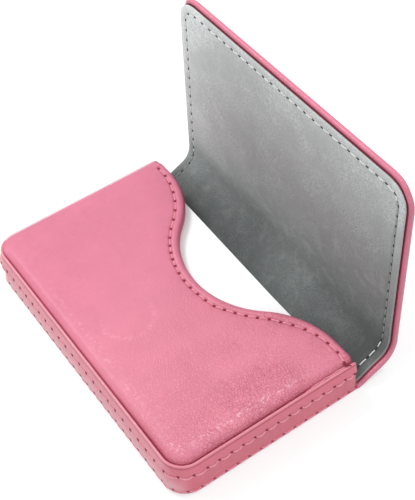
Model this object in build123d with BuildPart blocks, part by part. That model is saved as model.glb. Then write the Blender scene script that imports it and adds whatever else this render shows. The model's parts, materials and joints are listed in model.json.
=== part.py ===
"""Hard pocket case for business cards, covered in leatherette.

A shallow box with a thumb notch in its padded front panel holds a deck of cards.
One wrap-round cover (back, spine and flap) closes over the open end, and a magnet
in the flap holds it shut.  The model is stored standing open: the spine leans out
of the mouth and the flap stands upright behind it.

Frame: origin at the centre of the back face, X along the long side, +Y out of the
mouth, +Z up through the front panel.  All sizes are in millimetres.
"""

import os
from math import atan2, cos, degrees, radians, sin, sqrt

from build123d import *

# ---------------------------------------------------------------- driving dimensions
length = 100.0  # long side, along X
depth = 60.0  # closed end to mouth, along Y
height = 13.0  # back face to the crest of the rim
corner_radius = 7.2  # two closed-end corners, seen from above

# wrap-round cover: leatherette skin, greyboard, microsuede lining
cover_skin = 0.6
cover_board = 0.9
lining = 0.5

# side band
band_skin_wall = 0.6
band_board_wall = 1.8
rim_drop = 3.6  # crest of the rim down to the seam that joins it to the band

# front panel, from the pocket upwards
panel_board = 1.2
panel_foam = 1.0
panel_crown = 0.4  # panel top above the rim crest
panel_roll = 1.5  # rolled edge of the padded skin
rim_width = 1.2  # rim strip, outside face to groove
rim_lean = 0.4  # how far the crest stands in from the seam
groove = 0.1  # bare gap between rim and panel at its foot
mouth_corner = 1.2

# thumb notch: one hollow arc between two shoulder arcs
notch_depth = 18.7
notch_radius = 28.0
shoulder_radius = 28.7
notch_shift = -0.7  # the notch is cut a little to the left of the middle

# folds, and the room that the shut cover leaves round the case
fold_depth = 1.3  # fold lines in from the outside of the cover
fold_gap = 0.1  # crease to the start of a moving board
board_setback = 0.2  # boards stop short of a fold line
mouth_gap = 0.3  # mouth to the shut spine
panel_gap = 0.7  # top of the panel to the shut flap
flap_overhang = 1.8  # shut flap beyond the closed end
flap_corner = 8.0
spine_angle = 31.0  # spine above the floor, as stored
flap_angle = 89.0  # flap above the floor, as stored
lining_margin = 0.6  # bare skin round the flap's lining

# magnets
magnet_radius = 8.0
magnet_fit = 0.1
magnet_from_closed_end = 17.5

# cards and the play they have in the pocket
card_thickness = 0.35
side_play = 2.65
back_play = 3.3
card_setback = 3.0  # deck's front edge inside the mouth
headroom = 0.3  # least gap over the top card
top_card_turn = -1.0  # degrees, how the top card lies on the deck

edge_break = 0.3

# ---------------------------------------------------------------- derived places
half_length = length / 2
mouth = depth / 2
cover_thickness = cover_skin + cover_board + lining
band_thickness = band_skin_wall + band_board_wall + lining
board_inset = band_skin_wall
lining_inset = band_skin_wall + band_board_wall
panel_inset = rim_width + groove

panel_top = height + panel_crown
foam_top = panel_top - cover_skin
board_top = foam_top - panel_foam
board_foot = board_top - panel_board
pocket_ceiling = board_foot - lining
pocket_floor = cover_thickness
seam_height = height - rim_drop
foam_roll = min(panel_roll - cover_skin, 0.9 * panel_foam)

card_length = length - 2 * (band_thickness + side_play)
card_width = depth - band_thickness - back_play - card_setback
card_count = int((pocket_ceiling - pocket_floor - headroom) / card_thickness)
deck_height = (card_count - 1) * card_thickness

# a fold line stands in from the cover's outside, so the shut cover's lining lies
# lining_side nearer to the case than the fold lines do
lining_side = cover_thickness - fold_depth
crease_inner = fold_depth - cover_skin
skin_start = fold_depth + fold_gap  # a moving board starts here, clear of the crease
fold_1 = Vector(0, mouth + mouth_gap + lining_side, fold_depth)
spine_width = panel_top + panel_gap + lining_side - fold_depth
flap_reach = fold_1.Y + mouth + flap_overhang
spine_run = Vector(0, cos(radians(spine_angle)), sin(radians(spine_angle)))
fold_2 = fold_1 + spine_run * spine_width


def board_plane(origin, angle):
    """Plane of a hinged board: x along the fold, y away from it, z to the lining side."""
    rise = radians(angle)
    return Plane(origin=origin, x_dir=(1, 0, 0), z_dir=(0, -sin(rise), cos(rise)))


spine_plane = board_plane(fold_1, spine_angle)
flap_plane = board_plane(fold_2, flap_angle)
skin_level = -fold_depth
board_level = skin_level + cover_skin
lining_level = board_level + cover_board


# ---------------------------------------------------------------- shared outlines
def case_outline(plane, inset, mouth_edge):
    """Floor plan of the case, square at the mouth and round at the closed end."""
    with BuildSketch(plane) as plan:
        with Locations((0, (mouth_edge - mouth + inset) / 2)):
            Rectangle(length - 2 * inset, mouth_edge + mouth - inset)
        fillet(plan.vertices().group_by(Axis.Y)[0], radius=corner_radius - inset)
    return plan.sketch


def panel_outline(plane, side_inset, mouth_inset):
    """Front panel with its thumb notch; both arcs keep their centres at any inset."""
    hollow = notch_radius + mouth_inset
    shoulder = shoulder_radius - mouth_inset
    hollow_centre = mouth - notch_depth + notch_radius
    shoulder_centre = mouth - shoulder_radius
    rise = hollow_centre - shoulder_centre
    shoulder_x = sqrt((hollow + shoulder) ** 2 - rise**2)
    tilt = degrees(atan2(rise, shoulder_x))
    side = half_length - side_inset
    front = mouth - mouth_inset
    closed_end = -mouth + side_inset
    with BuildSketch(plane) as plan:
        with BuildLine():
            CenterArc((notch_shift, hollow_centre), hollow, 180 + tilt, 180 - 2 * tilt)
            CenterArc((notch_shift + shoulder_x, shoulder_centre), shoulder, 90, 90 - tilt)
            CenterArc((notch_shift - shoulder_x, shoulder_centre), shoulder, tilt, 90 - tilt)
            Polyline(
                (notch_shift + shoulder_x, front),
                (side, front),
                (side, closed_end),
                (-side, closed_end),
                (-side, front),
                (notch_shift - shoulder_x, front),
            )
        make_face()
        fillet(plan.vertices().group_by(Axis.Y)[0], radius=corner_radius - side_inset)
        mouth_corners = plan.vertices().group_by(Axis.Y)[-1].sort_by(Axis.X)
        fillet([mouth_corners[0], mouth_corners[-1]], radius=mouth_corner - mouth_inset)
    return plan.sketch


def band_wall(section, mouth_edge):
    """Wall round the closed end; section points are (inset from outside, height)."""
    with BuildPart() as wall:
        with BuildLine() as path:
            FilletPolyline(
                (-half_length, mouth_edge),
                (-half_length, -mouth),
                (half_length, -mouth),
                (half_length, mouth_edge),
                radius=corner_radius,
            )
        start = Plane(origin=(-half_length, mouth_edge, 0), x_dir=(1, 0, 0), z_dir=(0, -1, 0))
        with BuildSketch(start):
            with BuildLine():
                Polyline(*section, close=True)
            make_face()
        sweep(path=path.wires()[0])
    return wall.part


def crease(fold, start_angle):
    """Quarter roll of skin round a fold line, over the whole length of the fold."""
    with BuildPart() as roll:
        with BuildSketch(Plane.YZ.offset(-half_length)):
            with BuildLine():
                outer = CenterArc((fold.Y, fold.Z), fold_depth, start_angle, 90)
                inner = CenterArc((fold.Y, fold.Z), crease_inner, start_angle, 90)
                Line(outer @ 0, inner @ 0)
                Line(outer @ 1, inner @ 1)
            make_face()
        extrude(amount=length)
    return roll.part


def spine_outline(plane, end_inset, far_edge):
    """Strip between the folds, from its clear start to far_edge."""
    with BuildSketch(plane) as plan:
        with Locations((0, (skin_start + far_edge) / 2)):
            Rectangle(length - 2 * end_inset, far_edge - skin_start)
    return plan.sketch


def flap_outline(plane, inset):
    """Flap with two rounded free corners, straight along the fold."""
    with BuildSketch(plane) as plan:
        with Locations((0, (skin_start + flap_reach - inset) / 2)):
            Rectangle(length - 2 * inset, flap_reach - inset - skin_start)
        free_corners = plan.vertices().group_by(Axis.Y)[-1]
        fillet(free_corners, radius=flap_corner - inset)
    return plan.sketch


# ---------------------------------------------------------------- back of the case
with BuildPart() as back_skin:
    extrude(case_outline(Plane.XY, 0, fold_1.Y), amount=cover_skin)
    sole = back_skin.faces().sort_by(Axis.Z)[0]
    rim_of_sole = sole.edges().sort_by(Axis.Y)[:-1]
    chamfer(rim_of_sole, length=edge_break)

with BuildPart() as back_board:
    board_base = Plane.XY.offset(cover_skin)
    extrude(case_outline(board_base, board_inset, fold_1.Y - board_setback), amount=cover_board)

with BuildPart() as back_lining:
    lining_base = Plane.XY.offset(cover_skin + cover_board)
    extrude(case_outline(lining_base, lining_inset, fold_1.Y - board_setback), amount=lining)

# ---------------------------------------------------------------- side band
band_foot = cover_skin + cover_board
with BuildPart() as band_board:
    add(
        band_wall(
            [
                (board_inset, band_foot),
                (lining_inset, band_foot),
                (lining_inset, board_foot),
                (board_inset, board_foot),
            ],
            mouth - band_skin_wall,
        )
    )

with BuildPart() as band_lining:
    add(
        band_wall(
            [
                (lining_inset, pocket_floor),
                (band_thickness, pocket_floor),
                (band_thickness, pocket_ceiling),
                (lining_inset, pocket_ceiling),
            ],
            mouth - band_skin_wall,
        )
    )

with BuildPart() as band_skin:
    add(
        band_wall(
            [(0, cover_skin), (board_inset, cover_skin), (board_inset, seam_height), (0, seam_height)],
            mouth,
        )
    )
    # skin turned over both mouth ends of the band
    end_height = pocket_ceiling - band_foot
    end_reach = band_thickness - band_skin_wall
    for side in (-1, 1):
        turned_end = (side * (half_length - band_skin_wall - end_reach / 2), mouth - band_skin_wall / 2)
        with BuildSketch(Plane.XY.offset(band_foot)):
            with Locations(turned_end):
                Rectangle(end_reach, band_skin_wall)
        extrude(amount=end_height)
    # cut the lower lining corner free where the back lining passes under it
    with BuildSketch(Plane.XY.offset(band_foot)):
        with Locations((0, mouth - band_skin_wall / 2)):
            Rectangle(length - 2 * lining_inset, band_skin_wall)
    extrude(amount=lining, mode=Mode.SUBTRACT)
    mouth_edges = band_skin.edges().filter_by(Axis.Z).group_by(Axis.Y)[-1].sort_by(Axis.X)
    fillet([mouth_edges[0], mouth_edges[-1]], radius=edge_break)

with BuildPart() as rim_strip:
    crest_inset = rim_lean + edge_break
    add(
        band_wall(
            [
                (0, seam_height),
                (board_inset, seam_height),
                (board_inset, board_foot),
                (rim_width, board_foot),
                (rim_width, height - edge_break),
                (rim_width - edge_break, height),
                (crest_inset, height),
                (rim_lean, height - edge_break),
                (0, seam_height + edge_break),
            ],
            mouth,
        )
    )

# ---------------------------------------------------------------- front panel
with BuildPart() as front_lining:
    under_board = Plane.XY.offset(pocket_ceiling)
    extrude(panel_outline(under_board, lining_inset, cover_skin), amount=lining)

with BuildPart() as front_board:
    on_lining = Plane.XY.offset(board_foot)
    extrude(panel_outline(on_lining, panel_inset + cover_skin, cover_skin), amount=panel_board)
    magnet_place = (0, -mouth + magnet_from_closed_end)
    with Locations((*magnet_place, board_top)):
        Hole(magnet_radius + magnet_fit)

with BuildPart() as front_padding:
    on_board = Plane.XY.offset(board_top)
    extrude(panel_outline(on_board, panel_inset + cover_skin, cover_skin), amount=panel_foam)
    crown = front_padding.faces().sort_by(Axis.Z)[-1]
    fillet(crown.edges(), radius=foam_roll)

with BuildPart() as front_skin:
    extrude(panel_outline(on_lining, panel_inset, 0), amount=panel_top - board_foot)
    crown = front_skin.faces().sort_by(Axis.Z)[-1]
    fillet(crown.edges(), radius=panel_roll)
    # round the mouth edge it reaches down past the lining; elsewhere it stops on the band
    extrude(panel_outline(under_board, lining_inset, 0), amount=lining)
    inside = panel_outline(under_board, panel_inset + cover_skin, cover_skin)
    extrude(inside, amount=board_top - pocket_ceiling, mode=Mode.SUBTRACT)
    add(front_padding.part, mode=Mode.SUBTRACT)

with BuildPart() as front_magnet:
    with BuildSketch(Plane.XY.offset(board_foot)):
        with Locations(magnet_place):
            Circle(magnet_radius)
    extrude(amount=panel_board)

# ---------------------------------------------------------------- spine
with BuildPart() as mouth_crease:
    add(crease(fold_1, -90))

with BuildPart() as spine_skin:
    extrude(spine_outline(spine_plane.offset(skin_level), 0, spine_width), amount=cover_skin + cover_board)
    extrude(
        spine_outline(spine_plane.offset(board_level), cover_skin, spine_width),
        amount=cover_board,
        mode=Mode.SUBTRACT,
    )

with BuildPart() as spine_board:
    far_edge = spine_width - board_setback
    extrude(spine_outline(spine_plane.offset(board_level), cover_skin, far_edge), amount=cover_board)

with BuildPart() as spine_lining:
    extrude(spine_outline(spine_plane.offset(lining_level), lining_margin, far_edge), amount=lining)

# ---------------------------------------------------------------- flap
with BuildPart() as flap_crease:
    add(crease(fold_2, spine_angle - 90))

with BuildPart() as flap_skin:
    extrude(flap_outline(flap_plane.offset(skin_level), 0), amount=cover_skin + cover_board)
    outside = flap_skin.faces().sort_by(Axis.Y)[-1]
    free_edges = outside.edges().sort_by(Axis.Z)[1:]
    chamfer(free_edges, length=edge_break)
    extrude(
        flap_outline(flap_plane.offset(board_level), cover_skin),
        amount=cover_board,
        mode=Mode.SUBTRACT,
    )

# with the flap shut its magnet lies over the one in the front panel
magnet_reach = fold_1.Y - magnet_place[1]
with BuildPart() as flap_board:
    extrude(flap_outline(flap_plane.offset(board_level), cover_skin), amount=cover_board)
    with BuildSketch(flap_plane.offset(board_level)):
        with Locations((0, magnet_reach)):
            Circle(magnet_radius + magnet_fit)
    extrude(amount=cover_board, mode=Mode.SUBTRACT)

with BuildPart() as flap_magnet:
    with BuildSketch(flap_plane.offset(board_level)):
        with Locations((0, magnet_reach)):
            Circle(magnet_radius)
    extrude(amount=cover_board)

with BuildPart() as flap_lining:
    extrude(flap_outline(flap_plane.offset(lining_level), lining_margin), amount=lining)

# ---------------------------------------------------------------- cards
card_centre = mouth - card_setback - card_width / 2
with BuildPart() as card_deck:
    with BuildSketch(Plane.XY.offset(pocket_floor)):
        with Locations((0, card_centre)):
            Rectangle(card_length, card_width)
    extrude(amount=deck_height)

with BuildPart() as top_card:
    with BuildSketch(Plane.XY.offset(pocket_floor + deck_height)):
        with Locations(Location((0, card_centre, 0), (0, 0, top_card_turn))):
            Rectangle(card_length, card_width)
    extrude(amount=card_thickness)

# ---------------------------------------------------------------- write the pieces
pieces = {
    "back_skin": back_skin,
    "back_board": back_board,
    "back_lining": back_lining,
    "band_board": band_board,
    "band_lining": band_lining,
    "band_skin": band_skin,
    "rim_strip": rim_strip,
    "front_lining": front_lining,
    "front_board": front_board,
    "front_padding": front_padding,
    "front_skin": front_skin,
    "front_magnet": front_magnet,
    "mouth_crease": mouth_crease,
    "spine_skin": spine_skin,
    "spine_board": spine_board,
    "spine_lining": spine_lining,
    "flap_crease": flap_crease,
    "flap_skin": flap_skin,
    "flap_board": flap_board,
    "flap_magnet": flap_magnet,
    "flap_lining": flap_lining,
    "card_deck": card_deck,
    "top_card": top_card,
}
os.makedirs("parts", exist_ok=True)
for name, piece in pieces.items():
    piece.part.label = name
    export_step(piece.part, f"parts/{name}.step")
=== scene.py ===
# %% [markdown]
# # A business card case, standing open
#
# The case is a shallow box with a padded front panel.  One cover of leatherette wraps
# round its back, its mouth (the spine) and over its front (the flap).  This lesson builds
# what the eye sees of it: skins, lining, seams and cards.  The hard parts come from the
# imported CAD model, which is the fixed frame that every piece is placed in.

# %% Load the frame
import json
import math
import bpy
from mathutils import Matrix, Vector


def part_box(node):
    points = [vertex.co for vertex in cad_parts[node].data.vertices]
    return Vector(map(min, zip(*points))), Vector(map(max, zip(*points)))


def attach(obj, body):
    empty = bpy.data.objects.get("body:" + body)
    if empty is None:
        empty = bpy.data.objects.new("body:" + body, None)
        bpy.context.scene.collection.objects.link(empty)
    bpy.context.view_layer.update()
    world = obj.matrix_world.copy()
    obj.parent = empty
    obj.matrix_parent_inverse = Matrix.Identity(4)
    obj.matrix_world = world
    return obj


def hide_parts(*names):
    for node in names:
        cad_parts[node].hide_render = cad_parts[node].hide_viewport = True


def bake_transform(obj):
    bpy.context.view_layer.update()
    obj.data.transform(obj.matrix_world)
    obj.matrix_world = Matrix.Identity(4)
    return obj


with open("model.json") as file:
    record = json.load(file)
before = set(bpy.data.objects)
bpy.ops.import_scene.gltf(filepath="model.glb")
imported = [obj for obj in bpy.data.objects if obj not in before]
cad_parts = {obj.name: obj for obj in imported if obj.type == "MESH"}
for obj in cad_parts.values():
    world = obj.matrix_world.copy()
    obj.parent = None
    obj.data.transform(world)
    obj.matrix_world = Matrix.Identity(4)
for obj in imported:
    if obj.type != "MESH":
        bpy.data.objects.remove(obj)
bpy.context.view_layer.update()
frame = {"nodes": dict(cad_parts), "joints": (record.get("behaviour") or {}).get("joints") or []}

from types import SimpleNamespace

import bmesh
import bpy
import numpy as np
from mathutils import Quaternion, Vector, geometry

scene = bpy.context.scene
MM = 0.001

# %% [markdown]
# ## Sizes
#
# Sizes are kept in millimetres, because that is how a case maker thinks, and turned into
# metres when a mesh is made.  Outside sizes are read from the boxes of the CAD nodes and
# the two fold lines from the joints, so a change in the CAD model moves the looks too.


# %% Sizes from the CAD model
def box_mm(node):
    """Lowest and highest corner of a CAD node, in millimetres."""
    low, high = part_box(node)
    return np.array(low) / MM, np.array(high) / MM


back_low, back_high = box_mm("back_skin")
rim_high = box_mm("rim_strip")[1]
panel_low, panel_high = box_mm("front_skin")
board_low, board_high = box_mm("front_board")
HALF, CLOSED = float(back_high[0]), float(back_low[1])
MOUTH, CREST = float(rim_high[1]), float(rim_high[2])
PANEL_SIDE, PANEL_TOP = float(panel_high[0]), float(panel_high[2])
PANEL_CLOSED, LIP_FOOT = float(panel_low[1]), float(panel_low[2])
BOARD_FOOT, BOARD_TOP = float(board_low[2]), float(board_high[2])
CORNER = 7.2
print("outside", 2 * HALF, "by", MOUTH - CLOSED, "by", CREST)

# %% Fold lines from the joints
joints = {joint["name"]: joint for joint in frame["joints"]}
fold_1 = np.array(joints["spine_fold"]["pos_m"][1:]) / MM
fold_2 = np.array(joints["flap_fold"]["pos_m"][1:]) / MM
spine_rise = math.atan2(*(fold_2 - fold_1)[::-1])
flap_rise = math.radians(
    180 - joints["spine_fold"]["range_deg"][1] - joints["flap_fold"]["range_deg"][1]
)
spine_length = float(np.hypot(*(fold_2 - fold_1)))
flap_length = float(box_mm("flap_skin")[1][2] - fold_2[1]) / math.sin(flap_rise)
print("folds", fold_1, fold_2, "spine", round(spine_length, 2), "flap", round(flap_length, 2))

# %% [markdown]
# ## Node helpers
#
# Every finish is a small tree of nodes.  One helper makes a node, sets what is constant and
# links what comes from another node.  The others wrap the nodes that are used most, which
# keeps each finish short enough to read.


# %% Node helpers
def node(tree, kind, sockets=None, **settings):
    """Adds a node; a socket's value may be a constant or another node's output."""
    made = tree.nodes.new(kind)
    for key, value in settings.items():
        setattr(made, key, value)
    for socket, value in (sockets or {}).items():
        if isinstance(value, bpy.types.NodeSocket):
            tree.links.new(value, made.inputs[socket])
        else:
            made.inputs[socket].default_value = value
    return made


def math_node(tree, operation, a, b=0.0):
    return node(tree, "ShaderNodeMath", {0: a, 1: b}, operation=operation).outputs[0]


def times(tree, product, *factors):
    """The product of two or more values."""
    for factor in factors:
        product = math_node(tree, "MULTIPLY", product, factor)
    return product


def vector_math(tree, operation, a, b):
    return node(tree, "ShaderNodeVectorMath", {0: a, 1: b}, operation=operation).outputs


def xyz(tree, **parts):
    return node(tree, "ShaderNodeCombineXYZ", parts).outputs[0]


def ramp(tree, value, low, high, to_low=0.0, to_high=1.0):
    """A value moved smoothly from one range to another."""
    sockets = {"Value": value, "From Min": low, "From Max": high, "To Min": to_low, "To Max": to_high}
    return node(tree, "ShaderNodeMapRange", sockets, interpolation_type="SMOOTHSTEP").outputs["Result"]


# %% Helpers for finishes
def fresh_tree(owner):
    """The empty node tree of a material or a world."""
    owner.use_nodes = True
    owner.node_tree.nodes.clear()
    return owner.node_tree


def new_finish(name):
    """An empty material, its tree and its shader."""
    finish = bpy.data.materials.new(name)
    tree = fresh_tree(finish)
    shader = node(tree, "ShaderNodeBsdfPrincipled")
    node(tree, "ShaderNodeOutputMaterial", {"Surface": shader.outputs[0]})
    return finish, tree, shader


def set_surface(tree, shader, colour, relief, depth, constants):
    """Colour and bump of a shader; what is the same all over is set on the shader's own sockets."""
    bump = node(tree, "ShaderNodeBump", {"Height": relief, "Strength": 1.0, "Distance": depth})
    tree.links.new(colour, shader.inputs["Base Color"])
    tree.links.new(bump.outputs[0], shader.inputs["Normal"])
    for socket, value in constants.items():
        shader.inputs[socket].default_value = value
    return bump.outputs[0]


def object_place(tree):
    return node(tree, "ShaderNodeTexCoord").outputs["Object"]


def painted(tree, name):
    """A number for each point, painted on the mesh as it is made."""
    return node(tree, "ShaderNodeAttribute", attribute_name=name).outputs["Fac"]


def noise(tree, vector, scale, detail, distortion=0.0):
    """Waves to the metre are the scale."""
    sockets = {"Vector": vector, "Scale": scale, "Detail": detail, "Distortion": distortion}
    return node(tree, "ShaderNodeTexNoise", sockets).outputs


def cell_borders(tree, vector, scale):
    """Distance to the nearest border in a pattern of cells."""
    sockets = {"Vector": vector, "Scale": scale}
    return node(tree, "ShaderNodeTexVoronoi", sockets, feature="DISTANCE_TO_EDGE").outputs["Distance"]


def blend_colours(tree, share, first, second):
    made = node(tree, "ShaderNodeMix", {"Factor": share}, data_type="RGBA")
    for socket, colour in zip(made.inputs[6:8], (first, second)):
        if isinstance(colour, bpy.types.NodeSocket):
            tree.links.new(colour, socket)
        else:
            socket.default_value = (*colour, 1)
    return made.outputs[2]


# %% [markdown]
# ## Leatherette
#
# The skin is a coated cloth pressed with a pebble grain: flat pebbles about a millimetre
# across with fine valleys between them.  A Voronoi pattern's distance to its cell borders
# gives the pebbles, a slow noise bends their outlines, and a second slow noise lets the
# grain fade in places where the skin was pulled tight over the foam.

# %% Patterns of the leatherette
# Cells or waves to the metre.
PEBBLES, CRACKS, WRINKLES, BENDS = 1150.0, 640.0, 700.0, 420.0
SCUFFS, CLOUDS, PATCHES = 210.0, 110.0, 42.0
BEND_REACH = 0.0012


def leather_patterns(tree):
    """The patterns that every leatherette shares."""
    place = object_place(tree)
    x, y, z = node(tree, "ShaderNodeSeparateXYZ", {"Vector": place}).outputs
    bend = noise(tree, place, BENDS, 2.0)["Color"]
    shift = vector_math(tree, "MULTIPLY", bend, (BEND_REACH,) * 3)["Vector"]
    bent = vector_math(tree, "ADD", place, shift)["Vector"]
    return SimpleNamespace(
        place=place,
        x=x,
        y=y,
        z=z,
        bent=bent,
        valleys=ramp(tree, cell_borders(tree, bent, PEBBLES), 0.0, 0.22),
        wrinkles=noise(tree, bent, WRINKLES, 5.0, 0.8)["Fac"],
        scuffs=noise(tree, place, SCUFFS, 6.0, 2.0)["Fac"],
        clouds=noise(tree, place, CLOUDS, 4.0)["Fac"],
        patches=noise(tree, place, PATCHES, 2.0)["Fac"],
    )


# %% [markdown]
# The front is handled most.  Its grain is fullest at the near corner of the mouth, where
# fine cracks cross it too.  A magnet in the flap has pressed a faint ring into it.  Painted
# highlights sit on the tips of the pebbles along the ring and along the turned edge, and
# the near side is painted lighter than the far side.

# %% Wear and painted light of the front
MAGNET_AT = (-0.95, -12.4, 13.4)
MAGNET_RADIUS = 7.8
CORNER_RUN = (-0.03, 0.045)  # from the far side to the near corner, in x + y
FAR_SHADE_TINT, NEAR_LIGHT_TINT = (0.95, 0.95, 0.975), (1.05, 1.15, 1.08)


def painted_side_light(tree, look, ground):
    """Painted light: the near side of the front is painted lighter and warmer than the far side."""
    tint = blend_colours(tree, ramp(tree, look.x, -0.05, 0.05), FAR_SHADE_TINT, NEAR_LIGHT_TINT)
    return vector_math(tree, "MULTIPLY", ground, tint)["Vector"]


def fine_cracks(tree, look, to_corner):
    """Lines between small cells, in patches that grow towards the near corner."""
    lines = ramp(tree, cell_borders(tree, look.bent, CRACKS), 0.0, 0.08, 1.0, 0.0)
    at_corner = ramp(tree, to_corner, 0.005, 0.045, 0.0, 0.5)
    in_patches = ramp(tree, look.patches, 0.4, 0.6, 0.35, 1.0)
    return times(tree, lines, times(tree, at_corner, in_patches))


def magnet_ring(tree, look):
    """1 on the ring that the magnet pressed in, on its near half."""
    centre = tuple(at * MM for at in MAGNET_AT)
    distance = vector_math(tree, "DISTANCE", look.place, centre)["Value"]
    off_ring = math_node(tree, "ABSOLUTE", math_node(tree, "SUBTRACT", distance, MAGNET_RADIUS * MM))
    on_ring = ramp(tree, off_ring, 0.0002, 0.0014, 1.0, 0.0)
    return times(tree, on_ring, ramp(tree, look.x, -0.005, 0.0))


def glints(tree, look, ring):
    """Painted highlights on the tips of the pebbles, in broken patches."""
    tips = ramp(tree, noise(tree, look.bent, PEBBLES, 2.0)["Fac"], 0.5, 0.63, 0.0, 0.8)
    highlighted = math_node(tree, "MAXIMUM", painted(tree, "painted_highlight"), times(tree, ring, 0.3))
    broken = ramp(tree, look.clouds, 0.4, 0.56, 0.3, 1.0)
    return times(tree, highlighted, tips, broken)


# %% [markdown]
# Two narrow pieces are painted paler in places, as painted light: the long side of the band,
# most towards its foot, and the rim strip's long side and crest, with a painted highlight on
# the far side's crest.


# %% Painted light on the band and the rim
def foot_painted_light(tree, look):
    """Painted light: paler on the long side, more so towards the foot."""
    long_side = ramp(tree, look.y, -0.0245, -0.0299, 0.0, 0.55)
    return times(tree, long_side, ramp(tree, look.z, 0.0095, 0.0015))


def rim_painted_light(tree, look):
    """Painted light: the crest and the long side are a little paler, and the far side's crest gets a painted
    highlight.
    """
    far = times(tree, ramp(tree, look.x, -0.04948, -0.0493), ramp(tree, look.x, -0.048, -0.0487))
    far = times(tree, far, ramp(tree, look.z, 0.01255, 0.0128))
    long_side = ramp(tree, look.y, -0.0285, -0.0302, 0.0, 0.2)
    crest = ramp(tree, look.z, 0.0122, 0.0127, 0.0, 0.2)
    return math_node(tree, "MAXIMUM", far, math_node(tree, "ADD", long_side, crest))


# %% Leatherette
# The darkest pink is painted shade; the pale foot and rim colours are painted light; the glint pink is a
# painted highlight.
PINK, DEEP_PINK, SHADE_PINK = (0.615, 0.168, 0.25), (0.45, 0.07, 0.125), (0.26, 0.0, 0.024)
# Band and rim strip are the front's leatherette; their colours differ from it as painted light and shade, set
# to how the sides are lit.
BAND_PINK, RIM_PINK = (0.665, 0.13, 0.187), (0.65, 0.132, 0.19)
FOOT_LIT_PINK, RIM_LIT_PINK, GLINT_PINK = (0.92, 0.62, 0.68), (0.74, 0.46, 0.53), (0.84, 0.43, 0.52)
GRAIN_DEPTH = 0.00006


def leatherette(name, colour, grain, front=False, painted_light_share=None, pale=None, polish=0.12):
    """The share of the pale colour, given by a function, is painted light."""
    finish, tree, shader = new_finish(name)
    look = leather_patterns(tree)
    lighter = tuple(c * 1.07 for c in colour)
    ground = blend_colours(tree, ramp(tree, look.clouds, 0.3, 0.7), colour, lighter)
    rubbed = ramp(tree, look.scuffs, 0.64, 0.78, 0.0, 0.35)
    rough = ramp(tree, look.wrinkles, 0.3, 0.7, 0.36, 0.52)
    tight = ramp(tree, look.patches, 0.36, 0.62, 0.25, 1.0)
    wrinkled = 1.6
    if front:
        to_corner = math_node(tree, "ADD", look.x, look.y)
        ground = painted_side_light(tree, look, ground)
        rough = math_node(tree, "ADD", rough, ramp(tree, to_corner, -0.06, 0.04, 0.26, 0.0))
        tight = times(tree, tight, ramp(tree, to_corner, *CORNER_RUN, 0.1, 1.6))
        wrinkled = ramp(tree, to_corner, *CORNER_RUN, 0.35, 1.6)
    low = times(tree, math_node(tree, "SUBTRACT", 1.0, look.valleys), 0.16, tight)
    tinted = blend_colours(tree, low, ground, DEEP_PINK)
    if front:
        tinted = blend_colours(tree, fine_cracks(tree, look, to_corner), tinted, DEEP_PINK)
        ring = magnet_ring(tree, look)
        creased = ramp(tree, look.wrinkles, 0.5, 0.6, 0.0, 0.3)
        rubbed = math_node(tree, "MAXIMUM", rubbed, times(tree, ring, creased))
    tinted = blend_colours(tree, rubbed, tinted, tuple(min(1.0, c * 1.2 + 0.03) for c in colour))
    if front:
        # Painted highlights on the pebble tips along the turned edge and the ring.
        tinted = blend_colours(tree, glints(tree, look, ring), tinted, GLINT_PINK)
    # Painted shade in grooves, creases, under lips, behind walls and at needle holes.
    tinted = blend_colours(tree, painted(tree, "painted_shade_and_highlight"), tinted, SHADE_PINK)
    # Painted light that pales the band's foot and the rim strip.
    if painted_light_share:
        tinted = blend_colours(tree, painted_light_share(tree, look), tinted, pale)
    pebbled, creases = times(tree, look.valleys, tight), times(tree, look.wrinkles, wrinkled)
    relief = math_node(tree, "ADD", pebbled, creases)
    gloss = {"Specular IOR Level": 0.5, "Coat Weight": polish, "Coat Roughness": 0.3}
    bump = set_surface(tree, shader, tinted, relief, GRAIN_DEPTH * grain, gloss)
    tree.links.new(rough, shader.inputs["Roughness"])
    tree.links.new(bump, shader.inputs["Coat Normal"])
    return finish


skin_finish = leatherette("leatherette", PINK, 1.0)
front_finish = leatherette("leatherette_front", PINK, 1.3, front=True)
band_finish = leatherette("leatherette_band", BAND_PINK, 0.5, painted_light_share=foot_painted_light, pale=FOOT_LIT_PINK)
rim_finish = leatherette("leatherette_rim", RIM_PINK, 0.5, painted_light_share=rim_painted_light, pale=RIM_LIT_PINK, polish=0.5)
print("finishes", skin_finish.name, front_finish.name, band_finish.name, rim_finish.name)

# %% [markdown]
# ## Microsuede
#
# The lining is a knitted microfibre with a short brushed nap.  Light catches the nap
# differently where a finger last stroked it, so soft patches matter more than fibres.
# A sheen on the shader gives the pale bloom that the nap shows at a low angle.

# %% Microsuede
# Waves to the metre, and colours.
STROKES, SMUDGES, FIBRES = 90.0, 260.0, 2300.0
DARK_GREY, GREY, FLECK_GREY = (0.243, 0.267, 0.264), (0.306, 0.335, 0.332), (0.225, 0.236, 0.232)
MARK_GREY, EDGE_HIGHLIGHT_GREY = (0.40, 0.42, 0.415), (0.50, 0.51, 0.50)
NAP_DEPTH = 0.00009


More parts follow.
